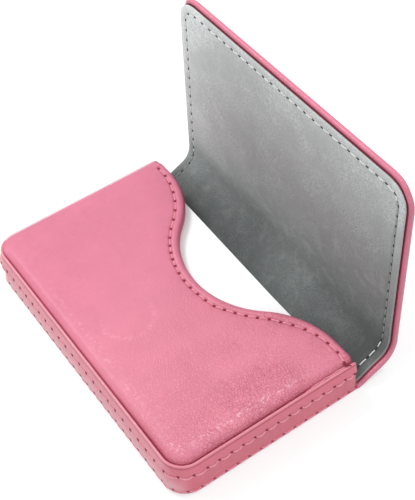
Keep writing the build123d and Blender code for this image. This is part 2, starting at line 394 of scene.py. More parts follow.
def microsuede():
    """Painted light and shade, kept on the mesh, makes the whole lining lighter or darker."""
    finish, tree, shader = new_finish("microsuede")
    place, lighting = object_place(tree), painted(tree, "painted_lighting")
    strokes = noise(tree, place, STROKES, 4.0, 0.5)["Fac"]
    smudges = noise(tree, place, SMUDGES, 5.0, 0.45)["Fac"]
    fibres = noise(tree, place, FIBRES, 3.0)["Fac"]
    ground = blend_colours(tree, ramp(tree, strokes, 0.35, 0.65), DARK_GREY, GREY)
    flecked = blend_colours(tree, ramp(tree, fibres, 0.36, 0.64), ground, FLECK_GREY)
    marks = times(tree, ramp(tree, smudges, 0.48, 0.7), ramp(tree, lighting, 0.7, 1.1, 0.42, 0.1))
    marked = blend_colours(tree, marks, flecked, MARK_GREY)
    lit = node(tree, "ShaderNodeVectorMath", {0: marked, "Scale": lighting}, operation="SCALE")
    # Painted highlight on the turned edge of the lining.
    at_edge = times(tree, painted(tree, "painted_shade_and_highlight"), 0.5)
    turned = blend_colours(tree, at_edge, lit.outputs["Vector"], EDGE_HIGHLIGHT_GREY)
    soft = {"Roughness": 0.95, "Specular IOR Level": 0.2, "Sheen Weight": 0.2, "Sheen Roughness": 0.5}
    set_surface(tree, shader, turned, math_node(tree, "ADD", fibres, smudges), NAP_DEPTH, soft)
    return finish


suede_finish = microsuede()
print("finish", suede_finish.name)

# %% [markdown]
# ## Plain finishes
#
# Thread, needle holes, card stock, greyboard and magnet steel need little more than a
# colour that wavers, a fitting roughness and a faint relief at the right scale.

# %% Plain finishes
PLAIN_FINISHES = {  # the two colours, grains to the metre, relief in metres, roughness
    "pink_thread": ((0.71, 0.245, 0.315), (0.81, 0.345, 0.415), 2500.0, 0.00003, 0.5),
    "grey_thread": ((0.24, 0.25, 0.245), (0.34, 0.35, 0.345), 2500.0, 0.00003, 0.6),
    # A lighter copy of the grey thread, painted light for stitches that catch the light.
    "painted_lit_thread": ((0.62, 0.63, 0.62), (0.86, 0.87, 0.86), 2500.0, 0.00003, 0.6),
    # The needle holes are small dark blobs; their colours are painted shade of the holes.
    "hole_shade_pink": ((0.19, 0.006, 0.026), (0.25, 0.01, 0.036), 2000.0, 0.00002, 0.8),
    "hole_shade_band": ((0.23, 0.01, 0.035), (0.3, 0.018, 0.05), 2000.0, 0.00002, 0.8),
    "hole_shade_foot": ((0.36, 0.045, 0.085), (0.44, 0.07, 0.115), 2000.0, 0.00002, 0.8),
    "hole_shade_grey": ((0.02, 0.022, 0.021), (0.045, 0.047, 0.046), 2000.0, 0.00002, 0.9),
    "card_stock": ((0.96, 0.965, 0.965), (0.985, 0.99, 0.99), 60.0, 0.000002, 0.55),
    "greyboard": ((0.26, 0.245, 0.22), (0.36, 0.345, 0.315), 1500.0, 0.00004, 0.9),
    "magnet_steel": ((0.50, 0.50, 0.52), (0.62, 0.62, 0.64), 700.0, 0.000005, 0.32),
}


def plain_finish(name, first, second, grains, relief, roughness):
    finish, tree, shader = new_finish(name)
    grain = noise(tree, object_place(tree), grains, 3.0)["Fac"]
    tint = blend_colours(tree, ramp(tree, grain, 0.35, 0.65), first, second)
    constants = {"Roughness": roughness, "Metallic": float(name == "magnet_steel")}
    set_surface(tree, shader, tint, grain, relief, constants)
    return finish


plain = {name: plain_finish(name, *looks) for name, looks in PLAIN_FINISHES.items()}
print("plain finishes", *plain)

# %% Finishes of the CAD nodes that are kept
for nodes, finish in (
    (("back_board", "band_board", "front_board", "spine_board", "flap_board"), plain["greyboard"]),
    (("front_magnet", "flap_magnet"), plain["magnet_steel"]),
    (("band_lining", "front_lining"), suede_finish),
    (("top_card",), plain["card_stock"]),
):
    for name in nodes:
        frame["nodes"][name].data.materials.clear()
        frame["nodes"][name].data.materials.append(finish)
        print(name, "in", finish.name)

# %% [markdown]
# ## Mesh helpers
#
# A skin or a lining is a thin closed body: a lower sheet and an upper sheet over the same
# grid, joined round their edge.  Working from one grid keeps every body closed, and makes
# it easy to round an edge by moving both sheets as they come near it.

# %% Mesh helpers
CREASE = math.radians(40)


def link(name, data):
    """An object at the world's origin."""
    made = bpy.data.objects.new(name, data)
    scene.collection.objects.link(made)
    return made


def piece(name, points, faces, finish):
    """A mesh object, from points in millimetres; faces that meet at a sharp angle keep their edge."""
    mesh = bpy.data.meshes.new(name)
    mesh.from_pydata((np.asarray(points, float) * MM).tolist(), [], [tuple(map(int, f)) for f in faces])
    shape = bmesh.new()
    shape.from_mesh(mesh)
    bmesh.ops.recalc_face_normals(shape, faces=shape.faces)
    shape.to_mesh(mesh)
    shape.free()
    mesh.shade_smooth()
    mesh.set_sharp_from_angle(angle=CREASE)
    mesh.materials.append(finish)
    print(name, len(mesh.vertices), "points", len(mesh.polygons), "faces")
    return link(name, mesh)


def paint(obj, name, values):
    """Keeps one number per point, for the finish to read."""
    attribute = obj.data.attributes.new(name, "FLOAT", "POINT")
    attribute.data.foreach_set("value", np.clip(np.asarray(values, float).ravel(), 0, 4))


# %% Faces of grids and rings
def grid_faces(rows, columns, start=0):
    """Quads of a grid whose points are numbered row by row."""
    number = start + np.arange(rows * columns).reshape(rows, columns)
    return np.stack([number[:-1, :-1], number[:-1, 1:], number[1:, 1:], number[1:, :-1]], -1).reshape(-1, 4)


def ring_faces(number):
    """Quads between rows of point numbers, where each row is a closed loop."""
    turned = np.roll(number, -1, axis=1)
    return np.stack([number[:-1], turned[:-1], turned[1:], number[1:]], -1).reshape(-1, 4)


def closed_sheet(name, lower, upper, finish):
    """Two grids of points, joined round their edge into one closed body."""
    rows, columns = lower.shape[:2]
    count = rows * columns
    number = np.arange(count).reshape(rows, columns)
    edge = np.concatenate([number[0, :-1], number[:-1, -1], number[-1, :0:-1], number[:0:-1, 0]])
    wall = ring_faces(np.stack([edge, edge + count]))
    faces = np.concatenate([grid_faces(rows, columns), grid_faces(rows, columns, count), wall])
    return piece(name, np.concatenate([lower.reshape(-1, 3), upper.reshape(-1, 3)]), faces, finish)


def swept_ring(name, sections, finish):
    """Closed sections, one after another along a path, with a cap on each end."""
    stations, around = sections.shape[:2]
    number = np.arange(stations * around).reshape(stations, around)
    faces = [*ring_faces(number), number[0], number[-1][::-1]]
    return piece(name, sections.reshape(-1, 3), faces, finish)


# %% Soft steps
def ease(x, start, end):
    """0 before start, 1 after end, smooth between."""
    t = np.clip((np.asarray(x, float) - start) / (end - start), 0, 1)
    return t * t * (3 - 2 * t)


def rounding(d, radius):
    """How far a rounded edge falls back at distance d in from it."""
    radius = np.maximum(radius, 1e-6)
    return radius - np.sqrt(np.maximum(radius**2 - (radius - np.clip(d, 0, radius)) ** 2, 0))


def bell(x, width):
    return np.exp(-((np.asarray(x, float) / width) ** 2))


# %% [markdown]
# ## The unrolled cover
#
# The cover is cut flat and then folded, so it is modelled flat too.  A point of the flat
# sheet has a place across (x), a place along (s, which is y on the case, then runs up the
# spine and the flap) and a level above the fold lines.  Folding moves it onto the case
# with a soft arc at each fold.  The sheet's grid is bent at its free corners so that its
# outer lines follow the rounded outline.

# %% Fold the flat cover
S_FOLD_1 = float(fold_1[0])
S_FOLD_2 = S_FOLD_1 + spine_length
S_END = S_FOLD_2 + flap_length
S_SPLIT = (S_FOLD_1 + S_FOLD_2) / 2


def turn(angle):
    """Direction along the cover and direction to its lining side, as (y, z)."""
    angle = np.asarray(angle, float)
    along = np.stack([np.cos(angle), np.sin(angle)], -1)
    return along, np.stack([-along[..., 1], along[..., 0]], -1)


def fold_cover(x, s, level, soft_1, soft_2):
    """Places of points of the flat cover; soft_1 and soft_2 are half the run of each fold."""
    x, s, level = np.broadcast_arrays(x, s, level)
    place = fold_1 + (s - S_FOLD_1)[..., None] * turn(0.0)[0]
    angle = np.zeros(s.shape)
    bends = ((fold_1, S_FOLD_1, 0.0, spine_rise, soft_1), (fold_2, S_FOLD_2, spine_rise, flap_rise, soft_2))
    for fold, s_fold, before, after, soft in bends:
        beyond = fold + (s - s_fold)[..., None] * turn(after)[0]
        place = np.where((s >= s_fold)[..., None], beyond, place)
        angle = angle + (after - before) * np.clip((s - s_fold + soft) / (2 * soft), 0, 1)
    inward = turn(angle)[1]
    for fold, s_fold, before, after, soft in bends:
        radius = soft / math.tan((after - before) / 2)
        start_along, start_inward = turn(before)
        on_arc = fold - soft * start_along + radius * (start_inward - inward)
        place = np.where((np.abs(s - s_fold) < soft)[..., None], on_arc, place)
    return np.concatenate([x[..., None], place + level[..., None] * inward], -1)


# %% Lines of the flat grid
FOLD_STEP, BOARD_STEP = 0.3, 0.8
FOLD_1_RUN, FOLD_2_BELOW, FOLD_2_ABOVE = 3.0, 4.6, 4.8


def fine_lines(start, end, step):
    return np.linspace(start, end, max(2, int(round(abs(end - start) / step)) + 1))


def lines_across(half, insets, step):
    """Grid lines from edge to edge, close together near both edges."""
    inner = fine_lines(-half + insets[-1], half - insets[-1], step)[1:-1]
    return np.concatenate([-half + np.array(insets), inner, (half - np.array(insets))[::-1]])


def round_corners(x, along_in, half, radius):
    """Moves grid points near a free corner so that straight lines become round ones."""
    a = radius - (half - np.abs(x))
    b = radius - along_in
    near = (a > 0) & (b > 0)
    scale = np.where(near, np.maximum(a, b) / np.maximum(np.hypot(a, b), 1e-9), 1.0)
    moved_x = np.where(near, np.sign(x) * (half - radius + a * scale), x)
    moved_in = np.where(near, radius - b * scale, along_in)
    return moved_x, moved_in


def flat_sheet(half, insets, corner, step, s_lines, free_in, closed_end):
    """Grid of one half of the cover; free_in gives how far in from the free edge a place lies."""
    x, s = np.meshgrid(lines_across(half, [*insets, corner], step), s_lines)
    along_in = free_in(s)
    x_round, in_round = round_corners(x, along_in, half, corner)
    s_round = s + (in_round - along_in) * (1 if closed_end else -1)
    return SimpleNamespace(
        s=s,
        x_round=x_round,
        s_round=s_round,
        end_in=along_in,
        side_in=half - np.abs(x),
        edge_in=np.minimum(half - np.abs(x), along_in),
    )


def flap_grid_lines(end, corner, insets, step):
    """Lines from the middle of the spine, over the flap's fold and up to the flap's edge."""
    below, above = S_FOLD_2 - FOLD_2_BELOW, S_FOLD_2 + FOLD_2_ABOVE
    runs = [
        fine_lines(S_SPLIT, below, BOARD_STEP)[:-1],
        fine_lines(below, above, FOLD_STEP + 0.1),
        fine_lines(above, end - corner, step)[1:-1],
        (end - np.array([*insets, corner]))[::-1],
    ]
    return np.concatenate(runs)


spine_grid_lines = fine_lines(S_FOLD_1 + FOLD_1_RUN, S_SPLIT, BOARD_STEP)[1:]
print("unrolled cover runs to", round(S_END, 2))

# %% [markdown]
# ## Outer skin of the cover
#
# The leatherette is turned over the edge of the boards, so its edge is a soft roll about
# as thick as the board.  It bends at two joints and a piece may bend at only one, so it is
# made as two bodies that meet in the middle of the spine, where nothing bends.

# %% Sizes of the outer skin
SKIN_OUT = -float(fold_1[1])
SKIN_IN = SKIN_OUT + 0.6
WALL_TOP = SKIN_IN + 0.9
SKIN_WALL = 1.7
EDGE_ROLL, WALL_STEP, BEHIND_WALL_SHADE = 0.5, 0.34, 0.66
PROUD_RIGHT, PROUD_LEFT, PROUD_END = 0.3, -0.35, 0.6
SEW_IN_SKIN, SEAM_DENT = 3.52, 0.1
FOLD_SOFT = (2.4, 4.5)
FLAP_CORNER = 8.0
ROLL_LINES = [0, 0.05, 0.14, 0.28, 0.44, 0.6, 0.76, 0.88, 0.97, 1.06, 1.18, SKIN_WALL, 1.76, 2.5]
SKIN_LINES = [*ROLL_LINES, 3.0, 3.25, SEW_IN_SKIN, 3.8, 4.05, 4.7, 5.8]


def skin_belly(s):
    """How far the skin arches out between the two folds."""
    return 0.9 * bell(s - S_FOLD_2 + 4.0, 5.0) * ease(s, S_FOLD_1 - 2.4, S_FOLD_1 + 4)


def lining_belly(s):
    return 0.6 * bell(s - S_FOLD_2 + 2.5, 4.5)


print("skin between", round(SKIN_OUT, 2), "and", round(SKIN_IN, 2), "rolled up to", round(WALL_TOP, 2))


# %% Outer skin
def cover_skin(name, s_lines, free_in, corner, closed_end):
    """In the case the skin is flat at its edge; past the mouth, where boxed is 1, it stands as a wall."""
    grid = flat_sheet(HALF, SKIN_LINES, corner, 5.0, s_lines, free_in, closed_end)
    d, x_round, s_round = grid.edge_in, grid.x_round, grid.s_round
    boxed = ease(grid.s, MOUTH - 0.2, MOUTH + 0.5)
    lower = SKIN_OUT + rounding(d, EDGE_ROLL + 0.1 * boxed)
    lower = lower + SEAM_DENT * bell(d - SEW_IN_SKIN, 0.3) * boxed - skin_belly(s_round)
    wall = SKIN_IN + (WALL_TOP - SKIN_IN) * boxed - rounding(d, 0.08 + 0.52 * boxed)
    wall = wall - WALL_STEP * boxed * ease(d, 0.84, 1.08) - lining_belly(s_round)
    upper = np.where(d <= SKIN_WALL + 0.01, wall, SKIN_IN - skin_belly(s_round))
    proud = boxed * (1 - ease(d, 0.7, 1.6))
    at_side = ease(grid.end_in - grid.side_in, -2.0, 2.0)
    x_round = x_round + np.where(x_round > 0, PROUD_RIGHT, -PROUD_LEFT) * proud * at_side
    if not closed_end:
        s_round = s_round + PROUD_END * proud * (1 - at_side)
    sheets = [fold_cover(x_round, s_round, level, *FOLD_SOFT) for level in (lower, upper)]
    made = closed_sheet(name, *sheets, skin_finish)
    behind_wall = BEHIND_WALL_SHADE * ease(d, 0.88, 1.14) * boxed
    paint(made, "painted_shade_and_highlight", np.concatenate([np.zeros(d.size), behind_wall.ravel()]))
    return made


case_lines = np.concatenate(
    [
        CLOSED + np.array([*SKIN_LINES, CORNER]),
        fine_lines(CLOSED + CORNER, S_FOLD_1 - FOLD_1_RUN, 5.0)[1:-1],
        fine_lines(S_FOLD_1 - FOLD_1_RUN, S_FOLD_1 + FOLD_1_RUN, FOLD_STEP),
        spine_grid_lines,
    ]
)
flap_lines = flap_grid_lines(S_END, FLAP_CORNER, SKIN_LINES, 5.0)
skin_case = cover_skin("cover_skin_case", case_lines, lambda s: s - CLOSED, CORNER, True)
skin_flap = cover_skin("cover_skin_flap", flap_lines, lambda s: S_END - s, FLAP_CORNER, False)

# %% [markdown]
# ## Microsuede lining
#
# The lining lies on the boards and bridges each fold in a softer arc than the skin does.
# Its edges are turned under, which makes them round.  In the pocket it is narrower,
# because it runs between the walls of the band.  Each point also keeps a number for how
# light the suede looks there: painted light and shade, lighter up the flap and darker deep
# in the folds, and a painted highlight on the turned edge.

# %% Sizes of the lining
MARGIN, MARGIN_END = 0.825, 1.2
LINING_HALF = HALF - MARGIN
LINING_END = S_END - MARGIN_END
LINING_CORNER = FLAP_CORNER - MARGIN_END
LINING_SHIFT, NECK = -0.425, 8
LINING_TOP = WALL_TOP + 0.5
SEW_IN_LINING = 2.7
POCKET_HALF = float(box_mm("back_lining")[1][0])
POCKET_END = float(box_mm("back_lining")[0][1])
POCKET_CORNER = CORNER - (HALF - POCKET_HALF)
LINING_LINES = [0, 0.07, 0.18, 0.34, 0.6, 1.0, 1.6, 2.1, 2.35, 2.53, SEW_IN_LINING, 2.88, 3.1, 3.6, 4.2]
print("lining", 2 * LINING_HALF, "wide, in the pocket", 2 * POCKET_HALF)


# %% Painted light and shade of the lining
def lining_lighting(x, s, edge):
    """Painted light and shade of the suede; edge is 1 on the turned edge outside the pocket."""
    up = np.clip((s - S_FOLD_2) / (LINING_END - S_FOLD_2), 0, 1)
    below_flap = 1 - ease(s, S_FOLD_2, S_FOLD_2 + 10)
    below_fold = 1 - ease(s, S_FOLD_1 + 2, S_FOLD_2 + 3)
    # Painted light: lighter up the flap, and towards its far edge.
    lighting = 0.74 + 0.55 * up**0.85 + 0.8 * up**3
    lighting = lighting - 0.0085 * x * (1 - up) + 0.0165 * np.maximum(-x - 15, 0)
    # Painted shade: darker on the far half of the spine, and most of all deep in the fold.
    lighting = lighting * (1 - 0.45 * ease(-x, -12, 12) * below_flap)
    lighting = lighting * (1 - 0.4 * ease(-x, 5, 38) * below_fold)
    # Painted light: lighter along the flap's fold and along the far edge.
    lighting = lighting * (1 + 0.2 * bell(s - S_FOLD_2, 3.0) * ease(-x, -25, 0))
    lighting = lighting + 0.32 * ease(-x, 33, 46) * ease(up, 0.05, 0.35)
    # Painted highlight on the turned edge.
    return lighting + edge * (0.2 * up + 0.16 * ease(x, 40, 47))


# %% Lining
def lining_sheet(name, s_lines, free_in, corner, closed_end):
    """The lining is narrow in the pocket and widens at the mouth, where open_part is 1."""
    grid = flat_sheet(LINING_HALF, LINING_LINES, corner, 4.0, s_lines, free_in, closed_end)
    d, x_round, s_round = grid.edge_in, grid.x_round, grid.s_round
    open_part = ease(grid.s, MOUTH + 0.01, MOUTH + 0.06)
    neck = np.clip((np.abs(x_round) - LINING_HALF + NECK) / NECK, 0, 1) * (LINING_HALF - POCKET_HALF)
    x_round = x_round - np.sign(x_round) * neck * (1 - open_part)
    x_round = x_round + LINING_SHIFT * open_part
    lower = WALL_TOP + 0.5 * rounding(d, 0.24) - lining_belly(s_round)
    upper = LINING_TOP - 0.6 * rounding(d, 0.3) - lining_belly(s_round)
    upper = upper - 0.18 * bell(d - SEW_IN_LINING, 0.34) * open_part
    upper = upper + 0.10 * bell(d - 1.3, 0.9) * open_part
    sheets = [fold_cover(x_round, s_round, level, *FOLD_SOFT) for level in (lower, upper)]
    made = closed_sheet(name, *sheets, suede_finish)
    lighting = lining_lighting(x_round, s_round, (1 - ease(d, 1.6, 2.5)) * open_part)
    paint(made, "painted_lighting", np.tile(lighting.ravel(), 2))
    # Painted highlight on the turned edge of the lining.
    paint(made, "painted_shade_and_highlight", np.tile((bell(d, 0.28) * open_part).ravel(), 2))
    return made


pocket_lines = np.concatenate(
    [
        POCKET_END + np.array([*LINING_LINES, POCKET_CORNER]),
        fine_lines(POCKET_END + POCKET_CORNER, MOUTH, 5.0)[1:],
        [MOUTH + 0.07],
        fine_lines(MOUTH + 0.3, S_FOLD_1 + FOLD_1_RUN, FOLD_STEP),
        spine_grid_lines,
    ]
)
flap_lining_lines = flap_grid_lines(LINING_END, LINING_CORNER, LINING_LINES, 4.0)
lining_case = lining_sheet("lining_case", pocket_lines, lambda s: s - POCKET_END, POCKET_CORNER, True)
lining_flap = lining_sheet("lining_flap", flap_lining_lines, lambda s: LINING_END - s, LINING_CORNER, False)

# %% [markdown]
# ## Side band
#
# The band runs round the closed end.  A strip with a rolled crest is sewn along its top,
# and a second row of stitches runs just above its foot.  Each stitch pulls the skin in at
# its needle holes and lets it swell between them, which gives the seam its scalloped
# look.  A section is swept round the case, and moves a little at each step of the way.

# %% Way round the case
STRAIGHT = HALF - CORNER
ARC = CORNER * math.pi / 2
RUN = STRAIGHT + ARC + (MOUTH - CLOSED - CORNER)


def round_case(a, inset):
    """Place at run a from the middle of the closed end, inset from the outside of the band."""
    a, inset = np.broadcast_arrays(np.asarray(a, float), np.asarray(inset, float))
    side, run = np.where(a < 0, -1.0, 1.0), np.abs(a)
    angle = np.clip((run - STRAIGHT) / CORNER, 0, math.pi / 2)
    x = np.minimum(run, STRAIGHT) + (CORNER - inset) * np.sin(angle)
    y = CLOSED + CORNER - (CORNER - inset) * np.cos(angle) + np.maximum(run - STRAIGHT - ARC, 0)
    return np.stack([side * x, y], -1)


def out_of_case(a):
    side, run = np.where(a < 0, -1.0, 1.0), np.abs(a)
    angle = np.clip((run - STRAIGHT) / CORNER, 0, math.pi / 2)
    return np.stack([side * np.sin(angle), -np.cos(angle), 0 * angle], -1)


print("way round the band", round(2 * RUN, 1))

# %% Needle holes round the band
END_HALF, END_HOLES = 36.26, 20
SIDE_START, SIDE_PITCH, SIDE_HOLES = 56.67, 3.81, 14
corner_holes = END_HALF + (SIDE_START - END_HALF) / 5 * np.arange(1, 5)
side_holes = SIDE_START + SIDE_PITCH * np.arange(SIDE_HOLES)
half_holes = np.concatenate([corner_holes, side_holes])
end_holes = np.linspace(-END_HALF, END_HALF, END_HOLES)
upper_holes = np.concatenate([-half_holes[::-1], end_holes, half_holes])
upper_holes[[0, -1]] += (0.6, -0.6)
lower_holes = (upper_holes[:-1] + upper_holes[1:]) / 2
print("stitches round the band", len(upper_holes) - 1)


def swell(a, holes):
    """1 midway between two needle holes and 0 at a hole."""
    after = np.clip(np.searchsorted(holes, a), 1, len(holes) - 1)
    share = (a - holes[after - 1]) / (holes[after] - holes[after - 1])
    share = np.clip(share, 0, 1)
    return 4 * share * (1 - share)


def from_hole(a, holes):
    return np.abs(np.asarray(a)[..., None] - holes).min(-1)


# %% Sweep a section round the case
SEAM = 9.24
FOOT_SEAM = 1.1
SCALLOP = 0.7
END_STATIONS = np.array([0, 0.04, 0.12, 0.26, 0.45, 0.7, 1.0, 1.3])
stations = np.concatenate(
    [-RUN + END_STATIONS, fine_lines(-RUN + 1.6, RUN - 1.6, 0.33), (RUN - END_STATIONS)[::-1]]
)


def mouth_rounding(a, inset):
    """The outside face turns in round the mouth end of the band."""
    return rounding(RUN - np.abs(a), 1.1) * np.clip(1 - inset / 0.9, 0, 1)


def scallop(a):
    """How far the strip's lip hangs below the seam between two stitches."""
    return SCALLOP * float(swell(a, upper_holes)) ** 0.8


def sweep_band(name, profile, finish):
    """profile(a) gives the section's points at run a, as (inset, height, painted shade)."""
    rings, depths = [], []
    for a in stations:
        inset, height, section_shade = np.array(profile(a), float).T
        inset = inset + mouth_rounding(a, inset)
        rings.append(np.column_stack([round_case(a, inset), height]))
        depths.append(section_shade)
    made = swept_ring(name, np.array(rings), finish)
    paint(made, "painted_shade_and_highlight", depths)
    return made


# %% Band
BAND_INSIDE, BAND_TOP = 0.6, 9.4
BAND_FOOT = float(back_high[2])
FOOT_HEIGHTS = [0.62, 0.72, 0.84, 0.96, 1.08, 1.2, 1.34, 1.5, 1.75, 2.2]
band_heights = np.array([*FOOT_HEIGHTS, 3.2, 4.6, 6.0, 7.3, 8.1, 8.5, 8.8, 9.0, 9.2, BAND_TOP])


def band_section(a):
    near_hole = bell(from_hole(a, lower_holes), 0.45)
    pit = 0.32 * near_hole * bell(band_heights - FOOT_SEAM - 0.2, 0.3)
    puff = 0.12 * swell(a, lower_holes) * bell(band_heights - FOOT_SEAM + 0.2, 0.4)
    tuck = 0.12 * ease(band_heights, 8.3, 9.2)
    waver = 0.03 * math.sin(a / 9.0) * bell(band_heights - 5.0, 3.0)
    outside = pit - puff + tuck + waver
    under_lip = SEAM - scallop(a)
    shade = 0.45 * near_hole * bell(band_heights - FOOT_SEAM - 0.25, 0.35)
    shade = shade + 0.55 * ease(band_heights, under_lip - 0.55, under_lip + 0.1)
    shade = shade + 0.5 * bell(band_heights - BAND_FOOT, 0.2)
    inside = [(BAND_INSIDE, BAND_TOP, 0), (BAND_INSIDE, FOOT_HEIGHTS[0], 0)]
    return [*zip(outside, band_heights, shade), *inside]


band = sweep_band("band_cover", band_section, band_finish)

# %% Rim strip
STRIP_INSIDE, STRIP_FOOT = 1.2, BAND_TOP + 0.02
BOARD_CLEAR = BOARD_FOOT + 0.01


def strip_section(a):
    """Up the outside from the scalloped lip, over the crest and down into the groove."""
    lip = SEAM + 0.12 - scallop(a)
    lip_points = [
        (0.02, lip + 0.1, 0.8), (-0.1, lip - 0.02, 0.6), (-0.24, lip + 0.02, 0.2), (-0.34, lip + 0.14, 0),
        (-0.36, lip + 0.3, 0), (-0.31, lip + 0.5, 0), (-0.22, max(9.95, lip + 0.75), 0),
    ]  # fmt: skip
    outside_points = [
        (-0.13, 10.3, 0), (-0.02, 10.75, 0), (0.09, 11.2, 0), (0.19, 11.6, 0), (0.29, 11.9, 0.1),
        (0.44, 12.08, 0.5), (0.54, 12.2, 0.75), (0.46, 12.33, 0.45),
    ]  # fmt: skip
    crest_points = [
        (0.35, 12.48, 0), (0.33, 12.64, 0), (0.38, 12.8, 0), (0.5, 12.93, 0), (0.66, CREST, 0),
        (0.82, 12.99, 0), (0.97, 12.92, 0), (1.09, 12.8, 0.1), (1.17, 12.6, 0.25),
        (STRIP_INSIDE, 12.3, 0.45), (STRIP_INSIDE, 11.4, 0.7), (STRIP_INSIDE, BOARD_CLEAR, 0.8),
    ]  # fmt: skip
    near_hole = float(bell(from_hole(a, upper_holes), 0.42))
    end_drop = float(rounding(RUN - abs(a), 2.2 if a < 0 else 1.5))
    far_side = a < -STRAIGHT
    section = []
    for inset, height, shade in (*lip_points, *outside_points, *crest_points):
        pull = 0.36 * near_hole * float(bell(height - SEAM, 0.32))
        drop = end_drop * min(1.0, max(0.0, (height - 11.0) / 2))
        shade = shade * (0.25 if far_side and inset > 0.8 else 1.0)
        # Painted shade at each needle hole.
        pit = 0.8 * near_hole * float(bell(height - SEAM - 0.1, 0.3))
        section.append((inset + pull, height - drop, shade + pit))
    return [*section, (BAND_INSIDE, BOARD_CLEAR, 1), (BAND_INSIDE, STRIP_FOOT, 0), (0.02, STRIP_FOOT, 0.8)]


rim = sweep_band("rim_roll", strip_section, rim_finish)

# %% [markdown]
# ## Padded front panel
#
# Leatherette is drawn over thin foam on a board and turned under all round.  The edges
# roll softly into the groove, a seam runs a few millimetres in from the mouth, and the lip
# beyond it swells like a small cushion.  The mesh follows the outline in rings near the
# edge, where the shape changes fast, and is filled with triangles in the flat middle.

# %% Sizes of the mouth
NOTCH_DEPTH, NOTCH_RADIUS, SHOULDER_RADIUS, NOTCH_SHIFT = 18.7, 28.0, 28.7, -0.7
MOUTH_CORNER = 2.2
PANEL_CORNER = CORNER - (HALF - PANEL_SIDE)
HOLLOW_Y = MOUTH - NOTCH_DEPTH + NOTCH_RADIUS
SHOULDER_Y = MOUTH - SHOULDER_RADIUS
SHOULDER_X = math.sqrt((NOTCH_RADIUS + SHOULDER_RADIUS) ** 2 - (HOLLOW_Y - SHOULDER_Y) ** 2)
TILT = math.degrees(math.atan2(HOLLOW_Y - SHOULDER_Y, SHOULDER_X))
print("shoulders", round(2 * SHOULDER_X, 1), "apart")


# %% Outline of the panel
def arc(cx, cy, radius, start, end, count):
    angle = np.radians(np.linspace(start, end, count, endpoint=False))
    return np.column_stack([cx + radius * np.cos(angle), cy + radius * np.sin(angle)])


def line(start, end, count):
    share = np.linspace(0, 1, count, endpoint=False)[:, None]
    return np.array(start) + share * (np.array(end) - np.array(start))


def panel_loop(d):
    """Closed outline d in from the panel's edge, and how much of each point is mouth."""
    side, front, back = PANEL_SIDE - d, MOUTH - d, PANEL_CLOSED + d
    far, near = max(PANEL_CORNER - d, 0.05), max(MOUTH_CORNER - d, 0.05)
    hollow, shoulder = NOTCH_RADIUS + d, SHOULDER_RADIUS - d
    left, right = NOTCH_SHIFT - SHOULDER_X, NOTCH_SHIFT + SHOULDER_X
    runs = [
        (arc(side - far, back + far, far, -90, 0, 9), 0, 0),
        (line((side, back + far), (side, front - near), 26), 0, 0),
        (arc(side - near, front - near, near, 0, 90, 6), 0, 1),
        (line((side - near, front), (right, front), 14), 1, 1),
        (arc(right, SHOULDER_Y, shoulder, 90, 180 - TILT, 70), 1, 1),
        (arc(NOTCH_SHIFT, HOLLOW_Y, hollow, -TILT, TILT - 180, 140), 1, 1),
        (arc(left, SHOULDER_Y, shoulder, TILT, 90, 70), 1, 1),
        (line((left, front), (near - side, front), 14), 1, 1),
        (arc(near - side, front - near, near, 90, 180, 6), 1, 0),
        (line((-side, front - near), (-side, back + far), 26), 0, 0),
        (arc(far - side, back + far, far, 180, 270, 9), 0, 0),
        (line((far - side, back), (side - far, back), 36), 0, 0),
    ]
    mouth_share = np.concatenate([np.linspace(a, b, len(p), endpoint=False) for p, a, b in runs])
    return np.concatenate([p for p, _, _ in runs]), mouth_share


# %% Seam of the mouth
MOUTH_HOLES, FIRST_HOLE = 30, 0.3
LAST_STEP = (3.7, -0.7)


def seam_holes():
    """Needle holes across the mouth: the seam strays a little, and its stitches differ in length."""
    on_mouth = panel_loop(0)[1] == 1  # the run of the outline that is wholly mouth
    edge, inner = (panel_loop(d)[0][on_mouth][::-1] for d in (0, 1))
    x = edge[:, 0]
    inset = 2.96 - 0.62 * ease(np.abs(x), 29, 45) + 0.49 * bell(x - 25, 4.3) + 0.39 * bell(x - 9, 2.9)
    track = edge + inset[:, None] * (inner - edge)
    pitch = 3.27 + 0.6 * ease(-x, 14, 22) - 0.64 * bell(x + 11, 4.4) + 0.83 * ease(x, 15, 45)
    steps = np.hypot(*np.diff(track, axis=0).T) * 2 / (pitch[1:] + pitch[:-1])
    number = np.append([0], np.cumsum(steps))
    counts = np.arange(MOUTH_HOLES) + FIRST_HOLE
    holes = [[np.interp(count, number, axis) for axis in track.T] for count in counts]
    return np.array([*holes, np.add(holes[-1], LAST_STEP)])


def to_points(places, points):
    """Distance from each place to the nearest of a few points."""
    return np.hypot(*(places[:, None] - points[None]).transpose(2, 0, 1)).min(1)


def to_line(places, points):
    """Distance from each place to the line through the points."""
    starts, steps = points[:-1], np.diff(points, axis=0)
    reach = ((places[:, None] - starts) * steps).sum(-1) / (steps**2).sum(-1)
    nearest = starts + np.clip(reach, 0, 1)[..., None] * steps
    return np.hypot(*(places[:, None] - nearest).transpose(2, 0, 1)).min(1)


needles = seam_holes()
print("mouth seam", len(needles), "needle holes")

# %% Heights of the panel
ROLL_REACH, ROLL_FOOT, ROLL_POWER = 3.1, 11.2, 2.15
FAR_SIDE_RISE = 1.3
LIP_MID, LIP_REACH, LIP_RISE = 11.85, 1.9, 0.16
TURNED_IN = 0.61
SEAM_DIP, NEEDLE_DIP, NEEDLE_PULL = 0.36, 0.3, 0.1


